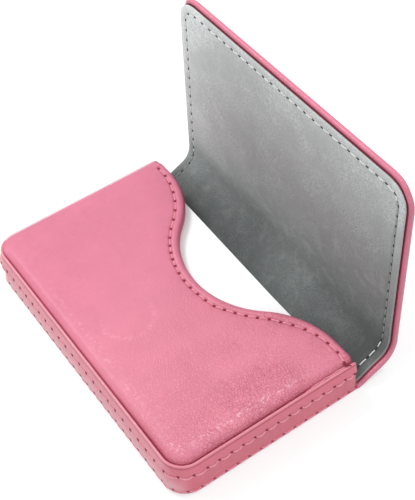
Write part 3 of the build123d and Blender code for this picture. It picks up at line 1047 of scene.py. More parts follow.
def panel_top(d, mouth, seam, needle, far):
    """Height of the panel's skin d in from its edge; far is 1 on the side where it sits high."""
    share = np.clip((d - 0.12) / ROLL_REACH, 0, 1)
    foot = ROLL_FOOT + FAR_SIDE_RISE * far
    side = foot + (PANEL_TOP - foot) * (1 - (1 - share) ** ROLL_POWER) ** (1 / ROLL_POWER)
    share = np.clip(d / LIP_REACH, 0, 1)
    lip = LIP_MID + (PANEL_TOP + LIP_RISE - LIP_MID) * np.sqrt(1 - (1 - share) ** 2)
    lip = lip - LIP_RISE * ease(d, LIP_REACH, 4.5)
    height = side + (lip - side) * mouth
    inner = ease(d, 0.6, 1.8)
    height = height - SEAM_DIP * bell(seam, 0.5) * inner - NEEDLE_DIP * bell(needle, 0.5) * inner
    return height - NEEDLE_PULL * bell(needle, 1.3) * inner


def panel_foot(d, mouth):
    """Height of the underside: the turned edge, then the board's top."""
    side = np.where(d <= TURNED_IN, BOARD_FOOT + 0.02 + rounding(d, 0.2), BOARD_TOP + 0.02)
    lip = np.where(d <= TURNED_IN, LIP_FOOT + 0.01 + 2.0 * rounding(d, 0.6), BOARD_TOP + 0.02)
    return side + (lip - side) * mouth


# %% [markdown]
# The padding's swelling comes from a cloth simulation: a cloth with a little pressure under
# it, held where it is turned under and at each needle hole.  It shows how the seam gathers
# the skin.  Real foam gives much less than free cloth, so the lift is scaled down after.

# %% Cloth of the padding
SWELL_UNIT = 0.1
SWELL_LIMIT = 0.3
HELD_ROUND_NEEDLE = 0.9
LAST_FRAME = 20


def fill_loop(loop, spots):
    """Triangles between a closed loop and spots inside it, and the number that each corner had."""
    borders = [(i, (i + 1) % len(loop)) for i in range(len(loop))]
    filled = geometry.delaunay_2d_cdt([Vector(p) for p in (*loop, *spots)], borders, [], 1, 1e-6)
    return filled[2], [sources[0] for sources in filled[3]]


def spaced(points, apart):
    """Points of a closed loop, thinned so that each is this far from the one before."""
    kept = [points[0]]
    for point in points[1:]:
        if math.dist(point, kept[-1]) >= apart and math.dist(point, kept[0]) >= apart * 0.5:
            kept.append(point)
    return kept


def padding_cloth(edge, loose):
    """The cloth and its flat places; it is held at its edge and at the needle holes."""
    faces, origin = fill_loop(edge, loose)
    flat = np.array([*edge, *loose])[origin]
    mesh = bpy.data.meshes.new("padding_cloth")
    places = np.column_stack([flat, np.zeros(len(flat))]) * SWELL_UNIT
    mesh.from_pydata(places.tolist(), [], [list(face) for face in faces])
    cloth = link("padding_cloth", mesh)
    held = cloth.vertex_groups.new(name="held")
    at_edge = np.array(origin) < len(edge)
    for index in np.nonzero(at_edge | (to_points(flat, needles) < HELD_ROUND_NEEDLE))[0]:
        held.add([int(index)], 1.0, "REPLACE")
    modifier = cloth.modifiers.new("cloth", "CLOTH")
    settings = modifier.settings
    settings.quality = 6
    settings.tension_stiffness = settings.compression_stiffness = 40
    settings.shear_stiffness = 20
    settings.bending_stiffness = 2
    settings.vertex_group_mass = held.name
    settings.use_pressure = True
    settings.uniform_pressure_force = 4.0
    settings.effector_weights.gravity = 0.0
    modifier.point_cache.frame_start, modifier.point_cache.frame_end = 1, LAST_FRAME
    return cloth, flat


def run_cloth(cloth):
    """Runs the simulation and gives the lift of each point."""
    for number in range(1, LAST_FRAME + 1):
        scene.frame_set(number)
    graph = bpy.context.evaluated_depsgraph_get()
    swollen = bpy.data.meshes.new_from_object(cloth.evaluated_get(graph), depsgraph=graph)
    lift = np.array([vertex.co.z for vertex in swollen.vertices]) / SWELL_UNIT
    scene.frame_set(1)
    mesh = cloth.data
    bpy.data.objects.remove(cloth)
    bpy.data.meshes.remove(mesh)
    bpy.data.meshes.remove(swollen)
    lift = lift * np.sign(np.median(lift) or 1.0)
    print("padding lifted", round(float(lift.max()), 2), "mm before the limit")
    return SWELL_LIMIT * np.tanh(np.maximum(lift, 0) / (SWELL_LIMIT * 4))


# %% Swelling of the padding
BLEND_REACH = 1.6
BATCH = 4000


def swell_padding(loops, middle_points, plan):
    """Lift of the skin at each place of the plan, blended from the points of the cloth nearby."""
    loose = [point for loop in loops[1:] for point in spaced(loop, 1.5)]
    cloth, flat = padding_cloth(spaced(loops[0], 1.3), [*loose, *middle_points])
    lift = run_cloth(cloth)
    result = np.zeros(len(plan))
    for first in range(0, len(plan), BATCH):
        apart = ((plan[first : first + BATCH, None] - flat[None]) ** 2).sum(-1)
        weight = np.exp(-apart / BLEND_REACH**2) + 1e-9 / (apart + 1e-6)
        result[first : first + BATCH] = (weight * lift).sum(1) / weight.sum(1)
    return np.round(result, 4)


# %% Rings and middle of the panel
RING_INSETS = [
    0, 0.04, 0.12, 0.25, 0.42, 0.6, 0.63, 0.85, 1.15, 1.45, 1.75, 2.0, 2.2, 2.36, 2.5, 2.64, 2.78,
    2.92, 3.06, 3.2, 3.36, 3.55, 3.8, 4.2, 4.7, 5.3,
]  # fmt: skip
CLOTH_INSETS = (1.15, 1.75, 2.5, 3.55, 5.3)
MAGNET_RINGS = (5.8, 6.6, 7.3, MAGNET_RADIUS, 8.3, 9.0, 9.8)
magnet_xy = np.array(MAGNET_AT[:2])
mouth_share = panel_loop(0)[1]
rings = [panel_loop(d)[0] for d in RING_INSETS]
loop_count = len(mouth_share)


def inside_loop(points, loop):
    x, y = points[:, :1], points[:, 1:]
    x1, y1 = loop.T
    x2, y2 = np.roll(loop, -1, axis=0).T
    crosses = ((y1 > y) != (y2 > y)) & (x < (x2 - x1) * (y - y1) / (y2 - y1 + 1e-12) + x1)
    return crosses.sum(1) % 2 == 1


GRID_STEP, ROW_STEP, CLEAR_OF_RINGS = 2.4, 2.1, 1.1


def middle_spots():
    """Points in the flat middle, closer together round the magnet's ring."""
    rows = enumerate(np.arange(PANEL_CLOSED + 6, MOUTH - 5, ROW_STEP))
    left, right = 6 - PANEL_SIDE, PANEL_SIDE - 5.5
    starts = [(left + row % 2 * GRID_STEP / 2, y) for row, y in rows]
    grid = np.array([(x, y) for start, y in starts for x in np.arange(start, right, GRID_STEP)])
    off_ring = np.abs(np.hypot(*(grid - magnet_xy).T) - MAGNET_RADIUS)
    spots = [grid[off_ring > 3.0]]
    for number, radius in enumerate(MAGNET_RINGS):
        angles = np.radians(np.arange(0, 360, 6) + 3 * (number % 2))
        spots.append(magnet_xy + radius * np.column_stack([np.cos(angles), np.sin(angles)]))
    spots = np.concatenate(spots)
    return spots[inside_loop(spots, rings[-1]) & (to_points(spots, rings[-1]) > CLEAR_OF_RINGS)]


spots = middle_spots()
middle_faces, origin = fill_loop(rings[-1], spots)
print("panel middle", len(spots), "points", len(middle_faces), "triangles")

# %% Measures over the panel
BULGE, FAR_BULGE, END_BULGE = 0.25, 0.33, 0.25
plan = np.concatenate([*rings, spots])
depth_in = np.concatenate([np.repeat(RING_INSETS, loop_count), to_points(spots, rings[0])])
mouth_part = np.concatenate([np.tile(mouth_share, len(rings)), np.zeros(len(spots))])
off_mouth = 1 - mouth_part
from_seam, from_needle = to_line(plan, needles), to_points(plan, needles)
far_side = ease(-plan[:, 0], PANEL_SIDE - 8, PANEL_SIDE - 3)
either_side = ease(np.abs(plan[:, 0]), PANEL_SIDE - 8, PANEL_SIDE - 3)
closed_end = ease(-plan[:, 1], -PANEL_CLOSED - 8, -PANEL_CLOSED - 3)
out_sideways = np.sign(plan[:, 0]) * either_side * (BULGE + FAR_BULGE * far_side)
outward = (1 - ease(depth_in, 0, 3.5)) * off_mouth
plan = plan + outward[:, None] * np.column_stack([out_sideways, -END_BULGE * closed_end])
print("plan", len(plan), "points, bulging", round(float(np.abs(outward * out_sideways).max()), 2))

# %% Front panel
CROWN, IMPRINT = 0.2, 0.045
crown = CROWN * (1 - bell(depth_in, 9.0)) * ease(depth_in, 3.0, 7.0)
loops = [rings[RING_INSETS.index(d)] for d in CLOTH_INSETS]
crown = swell_padding(loops, spots, plan) * ease(depth_in, 1.2, 2.2)
imprint = IMPRINT * bell(np.abs(np.hypot(*(plan - magnet_xy).T) - MAGNET_RADIUS), 0.7)
top_z = panel_top(depth_in, mouth_part, from_seam, from_needle, far_side) + crown - imprint
foot_z = panel_foot(depth_in, mouth_part)
total, inner_start = len(plan), (len(rings) - 1) * loop_count
ring_numbers = np.arange(len(rings) * loop_count).reshape(len(rings), loop_count)
ring_quads = ring_faces(ring_numbers)
middle = [[inner_start + origin[i] for i in face] for face in middle_faces]
panel_faces = [
    *ring_quads,
    *middle,
    *(ring_quads[:, ::-1] + total),
    *[[i + total for i in face[::-1]] for face in middle],
    *ring_faces(np.stack([ring_numbers[0], ring_numbers[0] + total]))[:, ::-1],
]
panel_points = np.concatenate([np.column_stack([plan, z]) for z in (top_z, foot_z)])
panel = piece("front_panel", panel_points, panel_faces, front_finish)

# %% Painted shade and painted highlights of the panel
near_edge = ease(plan[:, 0], PANEL_SIDE - 9, PANEL_SIDE - 5)
near_side = np.maximum(near_edge, 0.15 + 0.85 * ease(plan[:, 0], 10, 45))
groove_width = 0.7 + 0.4 * near_side
# Painted shade: in the groove, under the lip, at the seam and its needle holes, and on the roll.
in_groove = 0.85 * (1 - far_side) * (1 - ease((depth_in - 0.1) / groove_width, 0, 1)) * off_mouth
under_lip = 0.5 * (1 - ease(depth_in, 0.1, 1.1)) * mouth_part
in_seam = (0.2 * bell(from_seam, 0.4) + 0.6 * bell(from_needle, 0.5)) * ease(depth_in, 0.6, 1.8)
on_roll = 0.3 * near_side * (1 - far_side) * (1 - ease(depth_in, 0.8, 2.7)) * off_mouth
shade = in_groove + under_lip + in_seam
shade = shade + on_roll * (1 - shade)
paint(panel, "painted_shade_and_highlight", np.concatenate([shade, np.full(total, 0.6)]))
# Painted highlights where the roll turns flat, along the front and the right side.
along_front = ease(-plan[:, 1], -PANEL_CLOSED - 9, -PANEL_CLOSED - 6) * ease(plan[:, 0], -45, 45)
along_right = ease(plan[:, 0], PANEL_SIDE - 9, PANEL_SIDE - 6) * (1 - ease(plan[:, 1], 2, 27))
painted_highlight = bell(depth_in - 4.2, 1.05) * np.maximum(0.7 * along_front, along_right)
paint(panel, "painted_highlight", np.tile(painted_highlight, 2))
print("shade up to", round(float(shade.max()), 2), "shine up to", round(float(painted_highlight.max()), 2))

# %% [markdown]
# ## Stitches
#
# Several hundred stitches repeat one small shape, so Geometry Nodes place it: a thread
# that comes up from one needle hole and goes down at the next.  The tree gets a point per
# stitch, with the direction of the seam, the direction out of the surface and the length
# of the stitch as attributes.  A second tree sets the holes.


# %% Helpers for trees
def new_tree(name, sizes, seed, finish):
    """A tree whose inputs are its sizes in metres, a seed and a finish, by name."""
    tree = bpy.data.node_groups.new(name, "GeometryNodeTree")
    inputs = [("Geometry", "Geometry", None), *((label, "Float", size) for label, size in sizes.items())]
    for label, kind, default in [*inputs, ("Seed", "Int", seed), (finish, "Material", None)]:
        socket = tree.interface.new_socket(label, in_out="INPUT", socket_type="NodeSocket" + kind)
        if default is not None:
            socket.default_value = default
    tree.interface.new_socket("Geometry", in_out="OUTPUT", socket_type="NodeSocketGeometry")
    return tree, node(tree, "NodeGroupInput").outputs


def named(tree, name, kind="FLOAT_VECTOR"):
    made = node(tree, "GeometryNodeInputNamedAttribute", {"Name": name}, data_type=kind)
    return made.outputs["Attribute"]


def small_random(tree, low, high, seed, offset):
    shifted = math_node(tree, "ADD", seed, float(offset))
    made = node(tree, "FunctionNodeRandomValue", {2: low, 3: high, "Seed": shifted}, data_type="FLOAT")
    return made.outputs[1]


def rotation(tree, **angles):
    return node(tree, "FunctionNodeEulerToRotation", {0: xyz(tree, **angles)}).outputs[0]


def facing(tree, roll):
    """Rotation that lays x along the seam and z out of the surface."""
    align = "FunctionNodeAlignRotationToVector"
    along = node(tree, align, {"Vector": named(tree, "along")}, axis="X").outputs[0]
    sockets = {"Rotation": along, "Vector": named(tree, "out")}
    out = node(tree, align, sockets, axis="Z", pivot_axis="X").outputs[0]
    sockets = {"Rotation": out, "Rotate By": roll}
    return node(tree, "FunctionNodeRotateRotation", sockets, rotation_space="LOCAL").outputs[0]


def place_all(tree, finish, **sockets):
    """One instance on each point, made real and given its finish."""
    placed = node(tree, "GeometryNodeInstanceOnPoints", sockets).outputs[0]
    real = node(tree, "GeometryNodeRealizeInstances", {"Geometry": placed}).outputs[0]
    done = node(tree, "GeometryNodeSetMaterial", {"Geometry": real, "Material": finish}).outputs[0]
    node(tree, "NodeGroupOutput", {"Geometry": done})


# %% Tree of the stitches
stitch_sizes = {"Thread radius": 0.00022, "Sag": 0.0003, "Lift": 0.0002, "Dip": 0.00012}
stitch_tree, given = new_tree("stitch row", stitch_sizes, 3, "Thread")
down = times(stitch_tree, given["Dip"], -1.0)
top = xyz(stitch_tree, Y=times(stitch_tree, given["Sag"], -2.0), Z=times(stitch_tree, given["Lift"], 2.0))
bow = node(
    stitch_tree,
    "GeometryNodeCurveQuadraticBezier",
    {
        "Resolution": 8,
        "Start": xyz(stitch_tree, X=-0.5, Z=down),
        "Middle": top,
        "End": xyz(stitch_tree, X=0.5, Z=down),
    },
).outputs[0]
circle_sockets = {"Resolution": 7, "Radius": given["Thread radius"]}
circle = node(stitch_tree, "GeometryNodeCurvePrimitiveCircle", circle_sockets).outputs[0]
thread_sockets = {"Curve": bow, "Profile Curve": circle, "Fill Caps": True}
thread = node(stitch_tree, "GeometryNodeCurveToMesh", thread_sockets).outputs[0]
tilt = small_random(stitch_tree, -0.12, 0.12, given["Seed"], 0)
stretch = small_random(stitch_tree, 0.94, 1.02, given["Seed"], 1)
place_all(
    stitch_tree,
    given["Thread"],
    Points=given["Geometry"],
    Instance=thread,
    Rotation=facing(stitch_tree, rotation(stitch_tree, X=tilt)),
    Scale=xyz(stitch_tree, X=times(stitch_tree, named(stitch_tree, "span", "FLOAT"), stretch), Y=1.0, Z=1.0),
)
print(stitch_tree.name, len(stitch_tree.nodes), "nodes")

# %% Tree of the needle holes
# Each hole is a small dark blob on the surface, coloured as painted shade.
hole_tree, given = new_tree("needle holes", {"Length": 0.0008, "Width": 0.0005, "Depth": 0.0002}, 5, "Finish")
ball = node(hole_tree, "GeometryNodeMeshUVSphere", {"Segments": 8, "Rings": 4, "Radius": 0.5}).outputs[0]
spin = small_random(hole_tree, -0.25, 0.25, given["Seed"], 0)
place_all(
    hole_tree,
    given["Finish"],
    Points=given["Geometry"],
    Instance=ball,
    Rotation=facing(hole_tree, rotation(hole_tree, Z=spin)),
    Scale=xyz(hole_tree, X=given["Length"], Y=given["Width"], Z=given["Depth"]),
)
print(hole_tree.name, len(hole_tree.nodes), "nodes")


# %% Sew
def sew(name, tree, points, along, out, spans, settings):
    """Runs a tree on points in millimetres and keeps the result as a plain mesh."""
    mesh = bpy.data.meshes.new(name + "_points")
    mesh.from_pydata((np.asarray(points, float) * MM).tolist(), [], [])
    for label, kind, field, values in (
        ("along", "FLOAT_VECTOR", "vector", np.asarray(along, float)),
        ("out", "FLOAT_VECTOR", "vector", np.asarray(out, float)),
        ("span", "FLOAT", "value", np.asarray(spans, float) * MM),
    ):
        mesh.attributes.new(label, kind, "POINT").data.foreach_set(field, values.ravel())
    maker = link(name + "_points", mesh)
    modifier = maker.modifiers.new("rows", "NODES")
    modifier.node_group = tree
    for item in tree.interface.items_tree:
        if item.in_out == "INPUT" and item.name in settings:
            modifier[item.identifier] = settings[item.name]
    graph = bpy.context.evaluated_depsgraph_get()
    result = bpy.data.meshes.new_from_object(maker.evaluated_get(graph), depsgraph=graph)
    result.name = name
    result.shade_smooth()
    while result.materials[0] is None:
        result.materials.pop(index=0)
    bpy.data.objects.remove(maker)
    print(name, len(points), "places", len(result.polygons), "faces")
    return link(name, result)


def thread_sizes(radius, sag, lift, dip, thread):
    sizes = {"Thread radius": radius * MM, "Sag": sag * MM, "Lift": lift * MM, "Dip": dip * MM}
    return sizes | {"Thread": thread}


def hole_sizes(length, width, depth, finish):
    return {"Length": length * MM, "Width": width * MM, "Depth": depth * MM, "Finish": finish}


def unit(v):
    v = np.asarray(v, float)
    return v / np.linalg.norm(v, axis=-1, keepdims=True)


def between(points):
    """Middle, direction and length of each step from one hole to the next."""
    step = np.diff(points, axis=0)
    return (points[:-1] + points[1:]) / 2, unit(step), np.linalg.norm(step, axis=1)


# %% Sew the band
BAND_GAP, MOUTH_GAP, COVER_GAP = 0.35, 0.95, 1.15  # from the end of one stitch to the next


def band_row(name, holes, height, inset, sag, lean, hole_finish):
    """One row of stitches round the band, and its needle holes."""
    at = np.column_stack([round_case(holes, inset), np.full(len(holes), height)])
    middles, along, spans = between(at)
    halfway = (holes[:-1] + holes[1:]) / 2
    middles[:, :2] = round_case(halfway, inset)
    out = out_of_case(halfway) + np.array([0, 0, lean])
    thread = thread_sizes(radius=0.28, sag=sag, lift=0.24, dip=0.12, thread=plain["pink_thread"])
    rows = sew(name, stitch_tree, middles, along, out, spans - BAND_GAP, thread)
    tangent = np.cross(out_of_case(holes), (0, 0, 1.0)) * -1
    slant = unit(tangent - np.array([0, 0, 0.7]))
    sizes = hole_sizes(length=1.45, width=0.7, depth=0.66, finish=hole_finish)
    pits = sew(name + "_holes", hole_tree, at, slant, out_of_case(holes), spans[:1].repeat(len(at)), sizes)
    return [rows, pits]


band_hole, foot_hole = plain["hole_shade_band"], plain["hole_shade_foot"]
upper_row = {"height": SEAM - 0.1, "inset": -0.2, "sag": 0.62, "lean": 0.1}
lower_row = {"height": FOOT_SEAM + 0.25, "inset": 0.16, "sag": 0.4, "lean": 0.0}
case_sewing = band_row("rim_stitches", upper_holes, **upper_row, hole_finish=band_hole)
case_sewing += band_row("foot_stitches", lower_holes, **lower_row, hole_finish=foot_hole)

# %% Sew the mouth of the panel
HOLE_SUNK, THREAD_SUNK = 0.42, 0.22
thread_line = np.column_stack([needles, np.full(len(needles), PANEL_TOP - THREAD_SUNK)])
middles, along, spans = between(thread_line)
up = np.tile((0.0, 0.0, 1.0), (len(needles), 1))
thread = thread_sizes(radius=0.2, sag=0.0, lift=0.18, dip=0.2, thread=plain["pink_thread"])
case_sewing.append(sew("mouth_stitches", stitch_tree, middles, along, up[1:], spans - MOUTH_GAP, thread))
holes_at = thread_line - [0, 0, HOLE_SUNK - THREAD_SUNK]
along_holes = unit(np.gradient(thread_line, axis=0))
sizes = hole_sizes(length=1.25, width=0.85, depth=0.4, finish=plain["hole_shade_pink"])
case_sewing.append(sew("mouth_holes", hole_tree, holes_at, along_holes, up, np.ones(len(up)), sizes))

# %% Finish the thread at the end of the mouth seam
last_hole = thread_line[-1]
tack_at = last_hole + np.array([(1.4, 0.15, -0.05), (1.2, 0.1, 0.0), (0.85, -0.35, 0.05)])
tack_along = unit([(0.8, 0.9, -0.1), (0.75, -0.9, -0.1), (0.9, 0.75, -0.15)])
tack_spans = np.array([1.9, 1.5, 1.6])
# The tack is drawn in the dark colour of the holes.
thread = thread_sizes(radius=0.16, sag=0.0, lift=0.2, dip=0.05, thread=plain["hole_shade_pink"])
case_sewing.append(sew("bar_tack", stitch_tree, tack_at, tack_along, up[:3], tack_spans, thread))

# %% Tail of the thread
TAIL_RADIUS, TAIL_LENGTH, TAIL_POINTS = 0.17, 13.5, 60
GROOVE_MIDDLE = 1.42


def groove_thread():
    """The thread's tail, laid in the groove beside the panel."""
    share = np.linspace(0, 1, TAIL_POINTS)
    x = HALF - GROOVE_MIDDLE + 0.05 * np.sin(share * 23)
    y = last_hole[1] - 0.4 - TAIL_LENGTH * share
    z = CREST - 0.42 - 0.5 * ease(share, 0.7, 1.0) + 0.04 * np.sin(share * 41)
    angle = np.linspace(0, 2 * math.pi, 8, endpoint=False)
    ring = TAIL_RADIUS * np.column_stack([np.cos(angle), np.zeros(8), np.sin(angle)])
    path = np.column_stack([x, y, z])
    return swept_ring("groove_thread", path[:, None] + ring[None], plain["pink_thread"])


case_sewing.append(groove_thread())

# %% [markdown]
# One more seam runs round the lining, through the whole cover: grey thread on the suede,
# pink thread on the leatherette.  It is laid out on the flat cover and folded with it, and
# it is split where the cover is split.


# %% Seam of the lining
LINING_PITCH, BEFORE_FIRST_HOLE = 3.6, 0.9


def lining_row():
    """Needle holes up one side of the lining, across its free edge and down the other side."""
    edge_x, edge_s = LINING_HALF - SEW_IN_LINING, LINING_END - SEW_IN_LINING
    radius = LINING_CORNER - SEW_IN_LINING
    start = MOUTH + BEFORE_FIRST_HOLE
    leg, turned, across = edge_s - radius - start, radius * math.pi / 2, 2 * (edge_x - radius)
    whole = 2 * leg + 2 * turned + across
    places = []
    for mark in np.linspace(0, whole, int(round(whole / LINING_PITCH)) + 1):
        side = -1.0 if mark < whole / 2 else 1.0
        run = min(mark, whole - mark)
        if run < leg:
            places.append((side * edge_x, start + run))
        elif run < leg + turned:
            angle = (run - leg) / radius
            x = edge_x - radius + radius * math.cos(angle)
            places.append((side * x, edge_s - radius + radius * math.sin(angle)))
        else:
            places.append((side * (edge_x - radius - (run - leg - turned)), edge_s))
    return np.array(places) + np.array([LINING_SHIFT, 0])


seam_flat = lining_row()
print("lining seam", len(seam_flat), "needle holes")


# %% Sew the lining to the cover
HOLE_DIP = 0.04


def on_cover(flat, level, belly):
    return fold_cover(flat[:, 0], flat[:, 1], level - belly(flat[:, 1]), *FOLD_SOFT)


def out_of_cover(flat):
    return on_cover(flat, 1.0, np.zeros_like) - on_cover(flat, 0.0, np.zeros_like)


def sew_cover(label, level, belly, side, thread, sizes):
    """Stitches and holes on one side of the cover; side is 1 inside and -1 outside."""
    made = {}
    middle = (seam_flat[:-1] + seam_flat[1:]) / 2
    ends = on_cover(seam_flat, level, belly)
    _, along, spans = between(ends)
    thread_at, holes_at = on_cover(middle, level, belly), on_cover(seam_flat, level - side * HOLE_DIP, belly)
    thread_out, hole_out = side * out_of_cover(middle), side * out_of_cover(seam_flat)
    direction = unit(np.gradient(ends, axis=0))
    for part, on_part in (("case", lambda s: s < S_SPLIT), ("flap", lambda s: s >= S_SPLIT)):
        a, b = on_part(middle[:, 1]), on_part(seam_flat[:, 1])
        stitched = (thread_at[a], along[a], thread_out[a], spans[a] - COVER_GAP, thread)
        pierced = (holes_at[b], direction[b], hole_out[b], np.ones(int(b.sum())), sizes)
        made[part] = [
            sew(f"{label}_stitches_{part}", stitch_tree, *stitched),
            sew(f"{label}_holes_{part}", hole_tree, *pierced),
        ]
    return made


grey_sizes = hole_sizes(length=1.15, width=0.7, depth=0.3, finish=plain["hole_shade_grey"])
grey_thread = thread_sizes(radius=0.2, sag=0.0, lift=0.12, dip=0.12, thread=plain["grey_thread"])
inner_row = sew_cover("lining", LINING_TOP - 0.07, lining_belly, 1, grey_thread, grey_sizes)

# %% Stitches of the lining that catch the light get a painted lighter copy of the thread
bright_above = float((fold_2 + (LINING_END - 5.0 - S_FOLD_2) * turn(flap_rise)[0])[1])
right_below, left_above = float(fold_2[1]) + 2.0, float(fold_2[1]) + 3.0
for row in (inner_row["case"][0], inner_row["flap"][0]):
    row.data.materials.append(plain["painted_lit_thread"])
    for face in row.data.polygons:
        x, _, z = face.center / MM
        if z > bright_above or (x > 0 and z < right_below) or (x < -40 and z > left_above):
            face.material_index = len(row.data.materials) - 1
    print(row.name, "has", len(row.data.materials), "threads")

# %% The same seam outside
pink_sizes = hole_sizes(length=0.75, width=0.5, depth=0.22, finish=plain["hole_shade_pink"])
pink_thread = thread_sizes(radius=0.18, sag=0.0, lift=0.1, dip=0.1, thread=plain["pink_thread"])
outer_row = sew_cover("cover", SKIN_OUT + 0.08, skin_belly, -1, pink_thread, pink_sizes)

# %% [markdown]
# ## Cards
#
# The deck in the pocket is a stack of separate cards that never lie quite square on each
# other.  Geometry Nodes stack one thin card with a small random shift and turn, from a
# fixed seed.

# %% Tree of the cards
card_sizes = {"Length": 0.0889, "Width": 0.0508, "Thickness": 0.00033, "Shift": 0.0001}
deck_tree, given = new_tree("deck of cards", card_sizes, 11, "Stock")
card_box = xyz(deck_tree, X=given["Length"], Y=given["Width"], Z=given["Thickness"])
card = node(deck_tree, "GeometryNodeMeshCube", {"Size": card_box}).outputs[0]
shifts = {
    axis: times(deck_tree, small_random(deck_tree, -1.0, 1.0, given["Seed"], offset), given["Shift"])
    for offset, axis in enumerate("XY")
}
moved = node(
    deck_tree,
    "GeometryNodeSetPosition",
    {"Geometry": given["Geometry"], "Offset": xyz(deck_tree, **shifts)},
).outputs[0]
skew = rotation(deck_tree, Z=small_random(deck_tree, -0.002, 0.002, given["Seed"], 2))
place_all(deck_tree, given["Stock"], Points=moved, Instance=card, Rotation=skew)

# %% Cards
deck_low, deck_high = box_mm("card_deck")
card_length, card_width, deck_height = deck_high - deck_low
CARD = float(box_mm("top_card")[1][2] - deck_high[2])
AIR = 0.03
card_count = int(round(deck_height / CARD))
levels = deck_low[2] + CARD * (np.arange(card_count) + 0.5)
middle_of_deck = (deck_low + deck_high)[:2] / 2
stack = np.column_stack([np.tile(middle_of_deck, (card_count, 1)), levels])
level_way = np.tile((1.0, 0, 0), (card_count, 1))
card_settings = {
    "Length": card_length * MM,
    "Width": card_width * MM,
    "Thickness": (CARD - AIR) * MM,
    "Shift": 0.12 * MM,
    "Stock": plain["card_stock"],
}
deck = sew("fanned_cards", deck_tree, stack, level_way, level_way, np.ones(card_count), card_settings)
deck.data.shade_flat()

# %% [markdown]
# ## What moves with what
#
# Pieces that stay on one CAD body ride on that body.  The pieces that cross a fold are
# baked in place and ride on no body.  The greyboards of the cover must not show in the
# open folds, so they are cut back from them first.


# %% Boards of the cover
BOARD_SIDE_CUT, FLAP_BOARD_CUT = 1.25, 1.2
SIDE_CUT_RUN, END_CUT_RUN = (30, 41.5), (9.9, 8.0)


def trimmed_board(name, board, origin, direction, keep, belly, end_cut=0.0):
    """A board of the cover, cut back from its folds and set to the arch of the skin."""
    source = frame["nodes"][board]
    mesh = source.data.copy()
    mesh.name = name
    along, inward = direction
    for vertex in mesh.vertices:
        place = source.matrix_world @ vertex.co
        flat = np.array([place.y, place.z]) / MM - origin
        s = float(flat @ along)
        near_end = float(ease(s, *(keep[1] - run for run in END_CUT_RUN)))
        kept_s = min(max(s, keep[0]), keep[1]) - end_cut * near_end
        side_cut = BOARD_SIDE_CUT * float(ease(abs(place.x) / MM, *SIDE_CUT_RUN))
        place.x -= math.copysign(side_cut, place.x) * MM
        flat = flat + (kept_s - s) * along - belly(kept_s) * inward
        vertex.co = Vector((place.x, *((origin + flat) * MM)))
    print(name, "kept from", keep)
    return link(name, mesh)


def board_belly(s):
    return 0.5 * float(skin_belly(S_FOLD_1 + s) + lining_belly(S_FOLD_1 + s))


spine_keep, flap_keep = (3.5, spine_length - 3.6), (3.8, flap_length)
spine_board = trimmed_board(
    "board_of_spine", "spine_board", fold_1, turn(spine_rise), spine_keep, board_belly
)
flap_board = trimmed_board(
    "board_of_flap", "flap_board", fold_2, turn(flap_rise), flap_keep, lambda s: 0.0, FLAP_BOARD_CUT
)


# %% Pieces that cross the folds
def blend_over(obj, fold, before, after, rise_before, rise_after, bodies):
    """Bakes obj's placing into its mesh."""
    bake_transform(obj)


SPINE_BEND, FLAP_BEND = (2.4, 2.8), (4.5, 4.5)
for obj in (skin_case, lining_case, *inner_row["case"], *outer_row["case"]):
    blend_over(obj, fold_1, *SPINE_BEND, 0.0, spine_rise, ("case", "spine"))
    print(obj.name, "bends at the spine's fold")
for obj in (skin_flap, lining_flap, *inner_row["flap"], *outer_row["flap"]):
    blend_over(obj, fold_2, *FLAP_BEND, spine_rise, flap_rise, ("spine", "flap"))
    print(obj.name, "bends at the flap's fold")

# %% Ride on the bodies
for obj in (band, rim, panel, *case_sewing):
    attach(obj, "case")
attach(deck, "cards")
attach(spine_board, "spine")
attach(flap_board, "flap")

# %% CAD nodes that these pieces stand for
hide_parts("back_skin", "mouth_crease", "spine_skin")
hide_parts("flap_crease", "flap_skin")
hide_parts("back_lining", "spine_lining")
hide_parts("flap_lining")
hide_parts("band_skin")
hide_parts("rim_strip")
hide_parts("front_skin", "front_padding")
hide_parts("card_deck")
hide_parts("spine_board")
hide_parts("flap_board")

# %% Width of the flat lining
print("lining flat", round(2 * LINING_HALF, 2), "mm wide")

# %% [markdown]
# ## Floor, light and camera
#
# A pale floor and soft light from above show the shape without hiding it.  The floor takes
# a shadow from the light and looks white to the camera, to mirrors and through glass.


# %% Floor
def seen_directly(tree):
    """1 for rays from the camera, from a mirror or through glass."""
    rays = node(tree, "ShaderNodeLightPath").outputs
    seen = math_node(tree, "MAXIMUM", rays["Is Camera Ray"], rays["Is Glossy Ray"])
    return math_node(tree, "MAXIMUM", seen, rays["Is Transmission Ray"])


FLOOR, FLOOR_GREY, WHITE = 3.0, (0.55, 0.585, 0.58, 1), (1, 1, 1, 1)
FLOOR_GLOW = 0.5
floor_mesh = bpy.data.meshes.new("floor")
floor_corners = [(-FLOOR, -FLOOR, 0), (FLOOR, -FLOOR, 0), (FLOOR, FLOOR, 0), (-FLOOR, FLOOR, 0)]
floor_mesh.from_pydata(floor_corners, [], [(0, 1, 2, 3)])
floor = link("floor", floor_mesh)
floor_finish = bpy.data.materials.new("pale_floor")
tree = fresh_tree(floor_finish)
matt = node(tree, "ShaderNodeBsdfDiffuse", {"Color": FLOOR_GREY}).outputs[0]
strength = times(tree, seen_directly(tree), FLOOR_GLOW)
glow = node(tree, "ShaderNodeEmission", {"Color": WHITE, "Strength": strength}).outputs[0]
both = node(tree, "ShaderNodeAddShader", {0: matt, 1: glow}).outputs[0]
node(tree, "ShaderNodeOutputMaterial", {"Surface": both})
floor_mesh.materials.append(floor_finish)
print("floor", 2 * FLOOR, "m square")

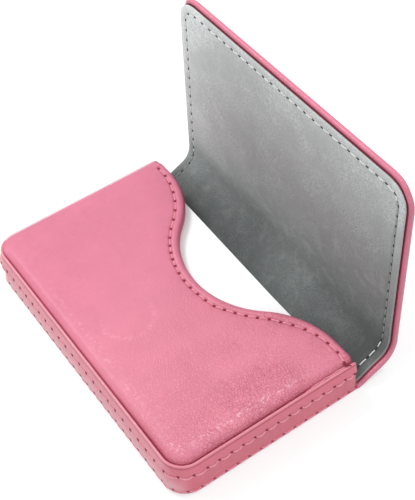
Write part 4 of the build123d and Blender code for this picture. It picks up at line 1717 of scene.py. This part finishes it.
# %% World
WORLD_LIGHT = 0.7
world = bpy.data.worlds.new("studio")
scene.world = world
tree = fresh_tree(world)
lit = node(tree, "ShaderNodeBackground", {"Color": WHITE, "Strength": WORLD_LIGHT}).outputs[0]
shown = node(tree, "ShaderNodeBackground", {"Color": WHITE, "Strength": 1.0}).outputs[0]
mixed = node(tree, "ShaderNodeMixShader", {0: seen_directly(tree), 1: lit, 2: shown}).outputs[0]
node(tree, "ShaderNodeOutputWorld", {"Surface": mixed})


# %% Lamps
LIT_POINT = (0.0, 0.01, 0.02)


def softbox(name, place, size, power):
    """A square lamp, aimed at the middle of the case."""
    lamp = bpy.data.lights.new(name, "AREA")
    lamp.shape, lamp.size, lamp.energy = "SQUARE", size, power
    made = link(name, lamp)
    made.location = place
    made.rotation_euler = (Vector(LIT_POINT) - Vector(place)).to_track_quat("-Z", "Y").to_euler()


softbox("over_the_left", (-0.47, -0.15, 0.62), size=0.24, power=3.1)
softbox("over_the_back", (0.16, 0.24, 0.72), size=0.14, power=1.1)
softbox("from_the_right", (0.60, -0.24, 0.36), size=0.4, power=0.9)
print("lamps", [lamp.name for lamp in bpy.data.lights])

# %% Camera
AZIMUTH, ELEVATION, ROLL = (math.radians(v) for v in (58.56, 48.887, -4.48))
AIM, DISTANCE = np.array([-26.858, 31.954, -12.110]), 381.955
SENSOR = 36.0
FOCAL, FRAME = 1177.783, 500  # focal length and long side of the frame, in one unit
level_back = math.cos(ELEVATION) * np.array([math.sin(AZIMUTH), -math.cos(AZIMUTH)])
back = np.append(level_back, math.sin(ELEVATION))
camera_data = bpy.data.cameras.new("camera")
camera_data.sensor_width, camera_data.lens = SENSOR, SENSOR * FOCAL / FRAME
camera_data.clip_start, camera_data.clip_end = 0.01, 20.0
camera = link("camera", camera_data)
camera.location = Vector((AIM + back * DISTANCE) * MM)
camera.rotation_mode = "QUATERNION"
level_view = Vector(-back).to_track_quat("-Z", "Y")
camera.rotation_quaternion = level_view @ Quaternion((0, 0, 1), ROLL)
scene.camera = camera
scene.view_settings.view_transform = "Standard"
print("camera", round(DISTANCE), "mm away, lens", round(camera_data.lens, 1))
